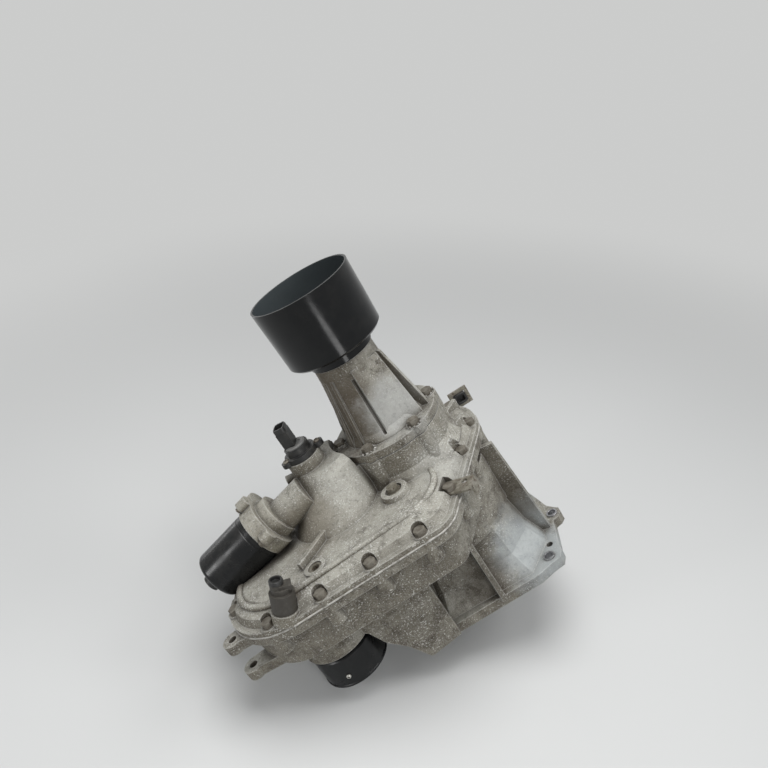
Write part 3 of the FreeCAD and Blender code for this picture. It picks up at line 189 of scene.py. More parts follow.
# Profiles of small pieces, as (share of the section, height): each ends in the floor of a recess
PAN_HEAD = ((0.0, 0.0), (1.0, 0.0), (1.0, 0.0009), (0.86, 0.0020), (0.58, 0.0026), (0.42, 0.0026),
            (0.38, 0.0012), (0.0, 0.0012))
CLIP = ((0.0, -0.005), (0.96, -0.005), (1.0, -0.004), (1.0, 0.004), (0.94, 0.005), (0.62, 0.005),
        (0.58, -0.002), (0.0, -0.002))
TOWER = ((0.0, 0.0395), (1.06, 0.0395), (1.06, 0.0445), (1.0, 0.0465), (0.84, 0.0465), (0.80, 0.0410),
         (0.0, 0.0410))
CAP = ((0.0, 0.0158), (1.0, 0.0158), (1.0, 0.0178), (0.93, 0.0186), (0.62, 0.0186), (0.58, 0.0176),
       (0.0, 0.0176))
STUB_RING = ((0.0, 0.0355), (1.0, 0.0355), (1.0, 0.0395), (0.92, 0.0405), (0.72, 0.0405), (0.68, 0.0365),
             (0.0, 0.0365))

# Where those profiles stand and how far their sections reach
TOWER_SHIFT = (-0.005, 0.002)
TOWER_REACH = (0.0072, 0.0092)
CAP_RADIUS = 0.0135
STUB_SHIFT = 0.004
STUB_RADIUS = 0.0082
BRACKET_WINDOW = (0.014, 0.0015, 0.013)
CLIP_REACH = (0.0088, 0.0078)

# Sealant bead: how far its line lies inside the outline, its wobble as a share of its radius, and the
# number of waves in that
BEAD_INSET = -0.0002
BEAD_WOBBLE = 0.35
WOBBLE_WAVES = 24

# Corrosion lumps: the most that a bolt is across, its head's height, the lumps' nearest and furthest
# place from its axis, their sizes as shares of the largest, and how uneven each is
BOLT_REACH = 0.03
BOLT_HEAD = 0.0062
LUMP_RING = (0.0078, 0.0105)
LUMP_SHARES = (0.3, 1.0)
LUMP_UNEVENNESS = 0.3

# Cover rail: the circles it runs round, its height, the point that its turn is measured from, the turns
# between which it runs, the share of its length over which each end tapers, and its sides
RAIL_ROUNDS = ((-0.197, -0.085, 0.058), (-0.038, -0.082, 0.054))
RAIL_Z = 0.2028
RAIL_MIDDLE = (-0.10, -0.03)
RAIL_SPAN = (math.radians(165), math.radians(344))
RAIL_TAPER = 0.03
RAIL_SIDES = 14
SEED = 11


# Mesh building

def grid_faces(rows, columns, wrap_rows, wrap_columns):
    """One quad between each four neighbours of a grid, wrapped round where asked."""
    u = np.arange(rows if wrap_rows else rows - 1)
    v = np.arange(columns if wrap_columns else columns - 1)
    uu, vv = np.meshgrid(u, v, indexing="ij")
    u_next, v_next = (uu + 1) % rows, (vv + 1) % columns
    corners = [uu * columns + vv, uu * columns + v_next,
               u_next * columns + v_next, u_next * columns + vv]
    return np.stack(corners, axis=-1).reshape(-1, 4)


def piece_from_grids(name, grids, sharp_angle=SHARP_ANGLE):
    """One closed piece from grids of points, each with its two wraps; poles and seams are welded."""
    points, faces, offset = [], [], 0
    for grid, wrap_rows, wrap_columns in grids:
        rows, columns = grid.shape[:2]
        points.append(grid.reshape(-1, 3))
        faces.append(grid_faces(rows, columns, wrap_rows, wrap_columns) + offset)
        offset += rows * columns
    mesh = bpy.data.meshes.new(name)
    mesh.from_pydata(np.concatenate(points).tolist(), [], np.concatenate(faces).tolist())
    work = bmesh.new()
    work.from_mesh(mesh)
    bmesh.ops.remove_doubles(work, verts=work.verts, dist=WELD)
    bmesh.ops.recalc_face_normals(work, faces=work.faces)
    work.to_mesh(mesh)
    work.free()
    mesh.shade_smooth()
    mesh.set_sharp_from_angle(angle=math.radians(sharp_angle))
    piece = bpy.data.objects.new(name, mesh)
    bpy.context.scene.collection.objects.link(piece)
    return piece


def axis_frame(axis):
    """Two unit vectors square to the axis and to each other, then the axis."""
    w = np.array(axis, float) / np.linalg.norm(axis)
    side = np.array((0.0, 1.0, 0.0)) if abs(w[1]) < 0.9 else np.array((1.0, 0.0, 0.0))
    u = np.cross(side, w)
    u /= np.linalg.norm(u)
    return u, np.cross(w, u), w


def post_points(place, axes, section, profile):
    """A section scaled and lifted by a profile: place + scale * (x * u + y * v) + height * w."""
    u, v, w = axes
    flat = section[:, :1] * u + section[:, 1:] * v
    scale, height = np.array(profile, float).T[:, :, None, None]
    return np.array(place, float) + scale * flat + height * w


def soft_rectangle(half_u, half_v, power=5.0, steps=SECTION_STEPS):
    """Superellipse: |x / half_u| ** power + |y / half_v| ** power = 1."""
    angle = np.linspace(0, 2 * math.pi, steps, endpoint=False)
    c, s = np.cos(angle), np.sin(angle)
    reach = (np.abs(c) ** power + np.abs(s) ** power) ** (-1 / power)
    return np.stack([half_u * reach * c, half_v * reach * s], axis=1)


def circle(radius, steps=SECTION_STEPS):
    """The superellipse of power 2, which is round."""
    return soft_rectangle(radius, radius, 2.0, steps)


def hexagon(across):
    """Distance to a flat side divided by the cosine of the angle from its middle."""
    angle = np.linspace(0, 2 * math.pi, SECTION_STEPS, endpoint=False)
    reach = across / 2 / np.cos((angle + math.pi / 6) % (math.pi / 3) - math.pi / 6)
    return np.stack([reach * np.cos(angle), reach * np.sin(angle)], axis=1)


def tube_points(path, radius, sides=10, closed=True):
    """Rings about a level path: path(t) + radius(t) * (cos a * out(t) + sin a * up)."""
    if closed:
        ahead = np.roll(path, -1, axis=0) - np.roll(path, 1, axis=0)
    else:
        ahead = np.gradient(path, axis=0)
    up = np.array((0.0, 0.0, 1.0))
    out = np.cross(ahead, up)
    out /= np.linalg.norm(out, axis=1, keepdims=True)
    angle = np.linspace(0, 2 * math.pi, sides, endpoint=False)
    ring = np.cos(angle)[:, None] * out[:, None] + np.sin(angle)[:, None] * up
    return path[:, None] + np.asarray(radius)[:, None, None] * ring


def lump_grids(places, radii, random):
    """Small nodules: place + radius * (1 + unevenness * noise) * direction, over a coarse sphere."""
    latitude = np.linspace(0, math.pi, 7)[:, None]
    longitude = np.linspace(0, 2 * math.pi, 9, endpoint=False)[None]
    direction = np.stack([np.sin(latitude) * np.cos(longitude), np.sin(latitude) * np.sin(longitude),
                          np.cos(latitude) * np.ones_like(longitude)], axis=-1)
    grids = []
    for place, radius in zip(places, radii):
        swell = 1 + LUMP_UNEVENNESS * random.uniform(-1, 1, direction.shape[:2])[..., None]
        swell[0] = swell[-1] = 1
        grids.append((place + radius * swell * direction, False, True))
    return grids


def hull_path(rounds, inset, z):
    """Line round a hull of circles: centre + (radius - inset) * direction where that reaches furthest,
    its points then evened out by length."""
    turn = np.linspace(0, 2 * math.pi, PATH_STEPS, endpoint=False)
    direction = np.stack([np.cos(turn), np.sin(turn)], axis=1)
    circles = np.array(rounds)
    furthest = (direction @ circles[:, :2].T + circles[:, 2]).argmax(axis=1)
    path = circles[furthest, :2] + (circles[furthest, 2:] - inset) * direction
    closed = np.concatenate([path, path[:1]])
    along = np.concatenate([[0], np.cumsum(np.linalg.norm(np.diff(closed, axis=0), axis=1))])
    even = np.linspace(0, along[-1], PATH_STEPS, endpoint=False)
    return np.stack([np.interp(even, along, closed[:, 0]), np.interp(even, along, closed[:, 1]),
                     np.full(PATH_STEPS, z)], axis=1)


def uneven(count, random):
    """A smooth wobble round a closed path, from -1 to 1: a sum of sines with chance phases."""
    t = np.linspace(0, 2 * math.pi, count, endpoint=False)
    wobble = sum(np.sin((5 + 3 * k) * t + random.uniform(0, 2 * math.pi)) for k in range(WOBBLE_WAVES))
    return wobble / np.abs(wobble).max()


def finish_piece(piece, body, material):
    """Gives a piece its material and the body it rides on."""
    piece.data.materials.append(material)
    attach(piece, body)
    return piece


def node_points(node):
    """The corners of a CAD node's mesh, in metres."""
    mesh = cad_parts[node].data
    points = np.zeros(len(mesh.vertices) * 3, np.float32)
    mesh.vertices.foreach_get("co", points)
    return points.reshape(-1, 3).astype(float)


def solid_places(node, reach):
    """Middle and top of each upright solid of a node, for solids less than reach across."""
    points = node_points(node)
    found = []
    while len(points):
        near = np.hypot(points[:, 0] - points[0, 0], points[:, 1] - points[0, 1]) < reach
        group = points[near]
        middle = (group.min(0) + group.max(0)) / 2
        found.append((middle[0], middle[1], group[:, 2].max()))
        points = points[~near]
    return found


# Shader building

def fill_inputs(tree, made, inputs):
    for key, value in inputs.items():
        if isinstance(value, bpy.types.NodeSocket):
            tree.links.new(value, made.inputs[key])
        else:
            made.inputs[key].default_value = value
    return made


def shader_node(tree, kind, inputs=None, **settings):
    made = tree.nodes.new(kind)
    for key, value in settings.items():
        setattr(made, key, value)
    return fill_inputs(tree, made, inputs or {})


def place_group(tree, group, inputs):
    return fill_inputs(tree, shader_node(tree, "ShaderNodeGroup", node_tree=group), inputs).outputs


def colour(value):
    return (*value, 1.0)


def noise(tree, vector, scale, detail, rough):
    inputs = {"Vector": vector, "Scale": scale, "Detail": detail, "Roughness": rough}
    return shader_node(tree, "ShaderNodeTexNoise", inputs).outputs["Fac"]


def step_between(tree, value, low, high, out_low=0.0, out_high=1.0):
    """A smooth step of the value, from out_low at low to out_high at high."""
    inputs = {"Value": value, "From Min": low, "From Max": high, "To Min": out_low, "To Max": out_high}
    return shader_node(tree, "ShaderNodeMapRange", inputs,
                       interpolation_type="SMOOTHSTEP").outputs["Result"]


def maths(tree, operation, a, b):
    return shader_node(tree, "ShaderNodeMath", {0: a, 1: b}, operation=operation).outputs[0]


def times(tree, a, b):
    return maths(tree, "MULTIPLY", a, b)


def plus(tree, a, b):
    return maths(tree, "ADD", a, b)


def minus(tree, a, b):
    return maths(tree, "SUBTRACT", a, b)


def vector_maths(tree, operation, inputs, output="Value"):
    return shader_node(tree, "ShaderNodeVectorMath", inputs, operation=operation).outputs[output]


def mixed(tree, factor, a, b):
    return shader_node(tree, "ShaderNodeMix", {0: factor, 6: a, 7: b}, data_type="RGBA").outputs[2]


def mixed_shaders(tree, factor, a, b):
    return shader_node(tree, "ShaderNodeMixShader", {0: factor, 1: a, 2: b}).outputs[0]


def object_place(tree):
    return shader_node(tree, "ShaderNodeTexCoord").outputs["Object"]


def surface_normal(tree):
    return shader_node(tree, "ShaderNodeNewGeometry").outputs["Normal"]


def bump(tree, height, normal, strength, distance):
    return shader_node(tree, "ShaderNodeBump", {"Height": height, "Normal": normal, "Strength": strength,
                                                "Distance": distance}).outputs["Normal"]


def new_group(name, inputs, outputs):
    """A shader node group with float, colour or vector inputs and outputs."""
    tree = bpy.data.node_groups.new(name, "ShaderNodeTree")
    kinds = {"float": "NodeSocketFloat", "colour": "NodeSocketColor", "vector": "NodeSocketVector"}
    for label, kind, default in inputs:
        socket = tree.interface.new_socket(label, in_out="INPUT", socket_type=kinds[kind])
        socket.default_value = default
    for label, kind in outputs:
        tree.interface.new_socket(label, in_out="OUTPUT", socket_type=kinds[kind])
    return tree, tree.nodes.new("NodeGroupInput").outputs, tree.nodes.new("NodeGroupOutput").inputs


def lying_group():
    """How far a face looks up from the floor: 0 for a side or underside, 1 for a top, edged by noise."""
    tree, given, result = new_group("lying_faces", [("Scale", "float", 60.0)], [("Lying", "float")])
    up = vector_maths(tree, "DOT_PRODUCT", {0: surface_normal(tree), 1: FLOOR_NORMAL})
    broken = noise(tree, object_place(tree), given["Scale"], 6.0, 0.7)
    level = plus(tree, up, times(tree, minus(tree, broken, 0.5), 0.8))
    tree.links.new(step_between(tree, level, 0.05, 0.95), result["Lying"])
    return tree


def hollow_group():
    """Painted shade and dirt in hollows and inner corners: where little open space lies within the reach.
    """
    tree, given, result = new_group("hollow_dirt", [("Reach", "float", 0.012)], [("Shade And Dirt", "float")])
    open_share = shader_node(tree, "ShaderNodeAmbientOcclusion", {"Distance": given["Reach"]},
                             samples=4).outputs["AO"]
    tree.links.new(step_between(tree, open_share, 0.95, 0.45), result["Shade And Dirt"])
    return tree


def edge_group():
    """How far a rounded-over normal leans from the true one, which marks edges for wear."""
    tree, given, result = new_group("edge_mark", [("Radius", "float", 0.002)],
                                    [("Edge", "float"), ("Normal", "vector")])
    rounded_over = shader_node(tree, "ShaderNodeBevel", {"Radius": given["Radius"]}, samples=6).outputs[0]
    lean = vector_maths(tree, "DOT_PRODUCT", {0: rounded_over, 1: surface_normal(tree)})
    tree.links.new(step_between(tree, lean, 0.995, 0.86), result["Edge"])
    tree.links.new(rounded_over, result["Normal"])
    return tree


def cast_skin_group():
    """Sand-cast skin: a paler top tone on faces that look up and a darker side tone elsewhere, painted
    light and shade, with stains, fine pale specks and a pitted grain.
    """
    tree, given, result = new_group(
        "cast_skin",
        [("Top", "colour", (0.4, 0.39, 0.35, 1)), ("Side", "colour", (0.2, 0.18, 0.15, 1)),
         ("Stain", "colour", (0.08, 0.06, 0.04, 1)), ("Crust", "colour", (0.7, 0.69, 0.65, 1)),
         ("Lying", "float", 0.5), ("Stain Amount", "float", 0.5), ("Crust Amount", "float", 0.5)],
        [("Color", "colour"), ("Roughness", "float"), ("Height", "float")])
    place = object_place(tree)
    # Painted light and shade: faces that look up get the paler top tone, sides and undersides the darker
    # side tone
    tone = mixed(tree, given["Lying"], given["Side"], given["Top"])
    cloud = step_between(tree, noise(tree, place, CLOUD_SCALE, 6.0, 0.68), 0.34, 0.66)
    clouded = mixed(tree, times(tree, cloud, 0.3), tone, given["Stain"])
    blotch = noise(tree, place, BLOTCH_SCALE, 7.0, 0.72)
    stain = step_between(tree, plus(tree, blotch, times(tree, given["Stain Amount"], 0.3)), 0.64, 0.86)
    stained = mixed(tree, times(tree, stain, 0.8), clouded, given["Stain"])
    grain = noise(tree, place, GRAIN_SCALE, 3.0, 0.65)
    pits = step_between(tree, noise(tree, place, PIT_SCALE, 4.0, 0.75), 0.45, 0.33)
    pitted = mixed(tree, times(tree, pits, 0.6), stained, given["Stain"])
    mottled = mixed(tree, times(tree, step_between(tree, grain, 0.45, 0.7), 0.25), pitted, given["Crust"])
    specks = noise(tree, place, SPECK_SCALE, 2.0, 0.5)
    drift = noise(tree, place, DRIFT_SCALE, 3.0, 0.6)
    level = plus(tree, specks, times(tree, minus(tree, drift, 0.5), 0.3))
    crust = step_between(tree, plus(tree, level, times(tree, given["Crust Amount"], 0.1)), 0.66, 0.72)
    crusted = mixed(tree, times(tree, crust, 0.7), mottled, given["Crust"])
    tree.links.new(crusted, result["Color"])
    tree.links.new(step_between(tree, blotch, 0.3, 0.7, 0.5, 0.85), result["Roughness"])
    relief = minus(tree, times(tree, crust, 0.6), times(tree, pits, 0.5))
    tree.links.new(plus(tree, times(tree, grain, 0.5), relief), result["Height"])
    return tree


def dust_group():
    """Thin dust that settles on faces that look up, broken up by noise, with a few fine specks."""
    tree, given, result = new_group(
        "settled_dust",
        [("Lying", "float", 0.5), ("Amount", "float", 0.5), ("Scale", "float", 90.0)],
        [("Dust", "float")])
    place = object_place(tree)
    broken = step_between(tree, noise(tree, place, given["Scale"], 8.0, 0.75), 0.42, 0.78)
    film = times(tree, plus(tree, times(tree, given["Lying"], 0.7), 0.3), broken)
    specks = step_between(tree, noise(tree, place, DUST_SPECK_SCALE, 2.0, 0.5), 0.71, 0.75)
    both = maths(tree, "MAXIMUM", times(tree, film, given["Amount"]),
                 times(tree, specks, times(tree, given["Amount"], 1.2)))
    tree.links.new(both, result["Dust"])
    return tree


GROUPS = {}


def groups():
    if not GROUPS:
        GROUPS.update(cast=cast_skin_group(), edge=edge_group(), dust=dust_group(), lying=lying_group(),
                      hollow=hollow_group())
    return GROUPS


def new_material(name):
    material = bpy.data.materials.new(name)
    material.use_nodes = True
    tree = material.node_tree
    return material, tree, tree.nodes["Principled BSDF"]


def near(tree, centre, reach):
    """A soft round region of the part, ragged at its edge: 1 at the centre, 0 past the reach."""
    place = object_place(tree)
    away = vector_maths(tree, "DISTANCE", {0: place, 1: centre})
    wander = minus(tree, noise(tree, place, RAGGED_SCALE, 6.0, 0.7), 0.5)
    ragged = plus(tree, away, times(tree, wander, reach))
    return step_between(tree, ragged, reach, reach * 0.4)


def cast_alloy(name, look, top, side, stain_amount, crust_amount, patches=()):
    """Weathered cast aluminium, with patches of other tones as (centre, reach, colour, strength)."""
    material, tree, shader = new_material(name)
    edge = place_group(tree, groups()["edge"], {"Radius": look.edge_radius})
    lying = place_group(tree, groups()["lying"], {"Scale": 60.0})["Lying"]
    hollow = place_group(tree, groups()["hollow"], {"Reach": look.shade_and_dirt_reach})["Shade And Dirt"]
    # The top and side tones are the skin's painted light and painted shade
    skin = place_group(tree, groups()["cast"],
                       {"Top": colour(top), "Side": colour(side), "Stain": colour(look.stain),
                        "Crust": colour(look.crust), "Lying": lying, "Stain Amount": stain_amount,
                        "Crust Amount": crust_amount})
    tone = skin["Color"]
    for centre, reach, shade, strength in patches:
        shade = getattr(look, shade) if isinstance(shade, str) else shade
        tone = mixed(tree, times(tree, near(tree, centre, reach), strength), tone, colour(shade))
    # Painted shade with dirt: the stain colour darkens hollows and inner corners
    shaded_and_dirty = mixed(tree, times(tree, hollow, 0.8), tone, colour(look.stain))
    worn = mixed(tree, times(tree, edge["Edge"], 0.35), shaded_and_dirty, colour(look.crust))
    normal = bump(tree, skin["Height"], edge["Normal"], 0.7, 0.0009)
    fill_inputs(tree, shader, {"Base Color": worn, "Roughness": skin["Roughness"], "Normal": normal,
                               "Metallic": 0.15})
    return material


def facing_axis(tree):
    """1 on walls that face the part's main axis, such as the inside of the cup, and 0 on outer walls."""
    level_place = vector_maths(tree, "MULTIPLY", {0: object_place(tree), 1: (1.0, 1.0, 0.0)}, "Vector")
    outward = vector_maths(tree, "NORMALIZE", {0: level_place}, "Vector")
    lean = vector_maths(tree, "DOT_PRODUCT", {0: outward, 1: surface_normal(tree)})
    return step_between(tree, lean, -0.2, -0.6)


def black_coating(name, look, base, gloss, dust_amount, inside=None):
    """Smooth black coating: a slow ripple, smears that dull it, thin dust and pale specks."""
    material, tree, shader = new_material(name)
    edge = place_group(tree, groups()["edge"], {"Radius": 0.0006})
    lying = place_group(tree, groups()["lying"], {"Scale": 40.0})["Lying"]
    dust = place_group(tree, groups()["dust"],
                       {"Lying": lying, "Amount": dust_amount, "Scale": 45.0})["Dust"]
    place = object_place(tree)
    tone = colour(base)
    # Painted reflection: walls that face the main axis, the inside of the cup, get a paler bluish tone
    if inside:
        tone = mixed(tree, facing_axis(tree), tone, colour(inside))
    tone = mixed(tree, dust, tone, colour(look.dust))
    tone = mixed(tree, times(tree, edge["Edge"], 0.05), tone, colour(look.dust))
    smear = step_between(tree, noise(tree, place, SMEAR_SCALE, 6.0, 0.7), 0.35, 0.75, gloss, gloss + 0.16)
    normal = bump(tree, noise(tree, place, RIPPLE_SCALE, 2.0, 0.5), edge["Normal"], 0.12, 0.004)
    dulled = plus(tree, smear, times(tree, dust, 0.6))
    fill_inputs(tree, shader, {"Base Color": tone, "Roughness": dulled, "Normal": normal,
                               "Specular IOR Level": 0.3})
    return material


def worn_steel(name, look, bright, dull, rust_amount, roughness, metal, dirt=0.6):
    """Steel with cloudy tone, rust that eats in from patches and painted shade with dirt round its foot."""
    material, tree, shader = new_material(name)
    edge = place_group(tree, groups()["edge"], {"Radius": 0.0006})
    hollow = place_group(tree, groups()["hollow"], {"Reach": 0.004})["Shade And Dirt"]
    place = object_place(tree)
    cloud = step_between(tree, noise(tree, place, STEEL_CLOUD_SCALE, 5.0, 0.6), 0.35, 0.65)
    tone = mixed(tree, cloud, colour(dull), colour(bright))
    patchy = noise(tree, place, RUST_SCALE, 6.0, 0.7)
    eaten = step_between(tree, plus(tree, patchy, rust_amount * 0.4 - 0.2), 0.42, 0.62)
    rusty = mixed(tree, eaten, tone, colour(look.rust))
    # Painted shade with dirt round the foot and in corners, as much as the dirt argument gives
    shaded_and_dirty = mixed(tree, times(tree, hollow, dirt), rusty, colour(look.stain))
    grain = noise(tree, place, GRAIN_SCALE, 3.0, 0.6)
    normal = bump(tree, plus(tree, grain, eaten), edge["Normal"], 0.35, 0.0004)
    dulled = plus(tree, roughness, times(tree, eaten, 0.3))
    bare = minus(tree, metal, times(tree, eaten, metal * 0.8))
    fill_inputs(tree, shader, {"Base Color": shaded_and_dirty, "Roughness": dulled, "Normal": normal,
                               "Metallic": bare})
    return material


def moulded(name, look, base, dust_amount, roughness=0.45):
    """Moulded plastic or rubber with a fine grain and dust."""
    material, tree, shader = new_material(name)
    edge = place_group(tree, groups()["edge"], {"Radius": 0.0008})
    lying = place_group(tree, groups()["lying"], {"Scale": 90.0})["Lying"]
    dust = place_group(tree, groups()["dust"],
                       {"Lying": lying, "Amount": dust_amount, "Scale": 120.0})["Dust"]
    grain = noise(tree, object_place(tree), MOULD_GRAIN_SCALE, 2.0, 0.5)
    normal = bump(tree, grain, edge["Normal"], 0.25, 0.0003)
    tone = mixed(tree, dust, colour(base), colour(look.dust))
    dulled = plus(tree, roughness, times(tree, dust, 0.4))
    fill_inputs(tree, shader, {"Base Color": tone, "Roughness": dulled, "Normal": normal})
    return material


def sealant(name, look):
    """Cured silicone squeezed from a joint, grey with dirt caught on it."""
    material, tree, shader = new_material(name)
    place = object_place(tree)
    dirt = step_between(tree, noise(tree, place, BEAD_DIRT_SCALE, 6.0, 0.7), 0.42, 0.66)
    tone = mixed(tree, times(tree, dirt, 0.6), colour(look.sealant), colour(look.stain))
    rough = step_between(tree, dirt, 0.0, 1.0, 0.45, 0.8)
    fine = noise(tree, place, BEAD_GRAIN_SCALE, 3.0, 0.6)
    normal = bump(tree, fine, surface_normal(tree), 0.3, 0.0003)
    fill_inputs(tree, shader, {"Base Color": tone, "Roughness": rough, "Normal": normal})
    return material


# Settings

def tone_setting(label, description, default):
    return FloatVectorProperty(name=label, description=description, subtype="COLOR", default=default,
                               min=0, max=1)


def length_setting(label, description, default):
    return FloatProperty(name=label, description=description, subtype="DISTANCE", unit="LENGTH",
                         default=default, min=0)


class CaseLook(bpy.types.PropertyGroup):
    """Colours of the finishes."""
    # The casting's top and side tones are one skin lit and shaded: the top is painted light, the side
    # painted shade
    top: tone_setting("Casting, top", "Cast skin on faces that look up, paler as painted light", (0.37, 0.36, 0.315))
    side: tone_setting("Casting, side", "Cast skin on sides and undersides", (0.15, 0.135, 0.102))
    # The stain colour is real stain in blotches and pits, and painted shade with dirt in hollows and
    # corners
    stain: tone_setting("Stain", "Oil and road dirt in the casting's hollows", (0.052, 0.041, 0.028))
    crust: tone_setting("Crust", "Pale corrosion on the casting", (0.66, 0.655, 0.62))
    clean: tone_setting("Clean panel", "Cleaner skin of the bell's panels", (0.40, 0.43, 0.44))
    black: tone_setting("Black coating", "Coating of the cup and the can", (0.0025, 0.003, 0.0035))
    # The cup's inside tone is a painted bluish reflection
    inside: tone_setting("Cup inside", "Paler bluish inside of the cup, a painted reflection", (0.045, 0.053, 0.056))
    plastic: tone_setting("Plastic", "Moulded sensors, connectors and seals", (0.012, 0.012, 0.012))
    dust: tone_setting("Dust", "Dust on the dark pieces", (0.22, 0.205, 0.18))
    rust: tone_setting("Rust", "Rust on the steel pieces", (0.075, 0.050, 0.034))
    sealant: tone_setting("Sealant", "Bead squeezed out of the joint", (0.42, 0.41, 0.38))
    edge_radius: length_setting("Cast edge radius", "How far cast edges look rounded", 0.0022)
    # How far the painted shade with dirt spreads out of a corner
    shade_and_dirt_reach: length_setting("Dirt reach", "How far dirt spreads out of a corner", 0.014)


class CaseSizes(bpy.types.PropertyGroup):
    """Sizes of the detail that the solids leave out."""
    bead_radius: length_setting("Sealant bead", "Mean radius of the sealant bead", 0.0011)
    rail_radius: length_setting("Cover rail", "Radius of the rail on the cover", 0.0042)
    screw_across: length_setting("Screw head", "Head size that each small screw has a share of", 0.008)
    lump_radius: length_setting("Largest nodule", "Radius of the largest lump of corrosion", 0.0022)
    lump_count: IntProperty(name="Nodules", description="Lumps of corrosion round each extension bolt",
                            default=26, min=0)
    lamp_power: FloatProperty(name="Lamp power", description="Power that each soft lamp has a share of",
                              subtype="POWER", unit="POWER", default=30.0, min=0)


def look():
    return bpy.context.scene.case_look


def sizes():
    return bpy.context.scene.case_sizes


def give(material, *nodes):
    """Puts one material on whole CAD nodes."""
    for node in nodes:
        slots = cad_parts[node].data.materials
        slots.clear()
        slots.append(material)


# Operators

class CASE_OT_stage(bpy.types.Operator):
    """Camera, floor, world and lamps"""
    bl_idname = "transfer_case.stage"
    bl_label = "Stage"

    def execute(self, context):
        self.add_camera(context)
        self.add_floor()
        self.add_world(context)
        self.add_lamps(context)
        context.scene.view_settings.view_transform = "Standard"
        return {"FINISHED"}

    def add_camera(self, context):
        data = bpy.data.cameras.new("camera")
        data.lens = CAMERA_LENS
        data.sensor_width = CAMERA_SENSOR
        data.clip_start = 0.05
        data.clip_end = 50.0
        camera = bpy.data.objects.new("camera", data)
        context.scene.collection.objects.link(camera)
        back = -Vector(CAMERA_FORWARD).normalized()
        right = Vector(CAMERA_UP).cross(back).normalized()
        turn = Matrix((right, back.cross(right), back)).transposed()
        camera.matrix_world = Matrix.Translation(CAMERA_PLACE) @ turn.to_4x4()
        context.scene.camera = camera

    def add_floor(self):
        """A wide disc square to the floor's normal under the lowest point, fading into the backdrop."""
        normal = np.array(FLOOR_NORMAL) / np.linalg.norm(FLOOR_NORMAL)
        lowest = min((node_points(node) @ normal).min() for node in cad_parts)
        u, v, w = axis_frame(normal)
        foot = w * (lowest - FLOOR_GAP)
        rim = circle(FLOOR_RADIUS, ROUND_STEPS)
        mesh = bpy.data.meshes.new("floor")
        mesh.from_pydata((foot + rim[:, :1] * u + rim[:, 1:] * v).tolist(), [], [list(range(len(rim)))])
        floor = bpy.data.objects.new("floor", mesh)
        bpy.context.scene.collection.objects.link(floor)
        material, tree, shader = new_material("pale_floor")
        fill_inputs(tree, shader, {"Base Color": colour(FLOOR_COLOUR), "Roughness": 0.9,
                                   "Specular IOR Level": 0.1})
        away = vector_maths(tree, "DISTANCE", {0: object_place(tree), 1: tuple(foot)})
        backdrop = shader_node(tree, "ShaderNodeEmission",
                               {"Color": colour(BACKDROP_COLOUR), "Strength": 1.0})
        seen = self.seen_directly(tree)
        faded = times(tree, step_between(tree, away, *FLOOR_FADE), seen)
        surface = mixed_shaders(tree, faded, shader.outputs[0], backdrop.outputs[0])
        clear = shader_node(tree, "ShaderNodeBsdfTransparent")
        behind = shader_node(tree, "ShaderNodeNewGeometry").outputs["Backfacing"]
        mix = mixed_shaders(tree, behind, surface, clear.outputs[0])
        tree.links.new(mix, tree.nodes["Material Output"].inputs["Surface"])
        floor.data.materials.append(material)

    def seen_directly(self, tree):
        """1 for rays from the camera and in reflections, 0 for rays that light the part."""
        rays = shader_node(tree, "ShaderNodeLightPath").outputs
        return maths(tree, "MAXIMUM", rays["Is Camera Ray"],
                     maths(tree, "MAXIMUM", rays["Is Glossy Ray"], rays["Is Transmission Ray"]))

    def add_world(self, context):
        world = bpy.data.worlds.new("studio")
        context.scene.world = world
        world.use_nodes = True
        tree = world.node_tree
        tree.nodes.clear()
        light = shader_node(tree, "ShaderNodeBackground",
                            {"Color": colour(AMBIENT_COLOUR), "Strength": AMBIENT_STRENGTH})
        backdrop = shader_node(tree, "ShaderNodeBackground",
                               {"Color": colour(BACKDROP_COLOUR), "Strength": 1.0})
        mix = mixed_shaders(tree, self.seen_directly(tree), light.outputs[0], backdrop.outputs[0])
        out = tree.nodes.new("ShaderNodeOutputWorld")
        tree.links.new(mix, out.inputs["Surface"])

    def add_lamps(self, context):
        """Soft lamps aimed at the middle of the part, the large one over it."""
        lo, hi = (Vector(corner) for corner in CAD_BOX)
        middle = (lo + hi) / 2
        over = middle + Vector(FLOOR_NORMAL).normalized() * TOP_LAMP_DISTANCE
        power = sizes().lamp_power
        for name, place, size, share in (("top", over, *TOP_LAMP), *LAMPS):
            place = Vector(place)
            data = bpy.data.lights.new(name, "AREA")
            data.shape = "DISK"
            data.size = size
            data.energy = power * share
            lamp = bpy.data.objects.new(name, data)
            context.scene.collection.objects.link(lamp)
            lamp.location = place
            lamp.rotation_euler = (middle - place).to_track_quat("-Z", "Y").to_euler()


class CASE_OT_castings(bpy.types.Operator):
    """Finishes of the case, cover, extension and the other castings"""
    bl_idname = "transfer_case.castings"
    bl_label = "Castings"

    def execute(self, context):
        tones = look()
        # Each casting gets a paler top tone and a darker side tone: painted light and shade
        top, side = tones.top, tones.side
        give(cast_alloy("case_casting", tones, top, side, stain_amount=0.65, crust_amount=0.3,
                        patches=CASE_PATCHES), "front_case")
        give(cast_alloy("cover_casting", tones, top, side, stain_amount=0.45, crust_amount=0.55,
                        patches=COVER_PATCHES), "rear_cover")
        give(cast_alloy("extension_casting", tones, top, side, stain_amount=0.6, crust_amount=0.3,
                        patches=EXTENSION_PATCHES), "extension_housing")
        give(cast_alloy("gearhead_casting", tones, (0.40, 0.385, 0.33), (0.24, 0.22, 0.17),
                        stain_amount=0.4, crust_amount=0.15), "actuator_housing")
        give(cast_alloy("inner_casting", tones, (0.5, 0.49, 0.47), (0.4, 0.39, 0.37),
                        stain_amount=0.1, crust_amount=0.0), "oil_pump_housing", "range_fork")
        return {"FINISHED"}


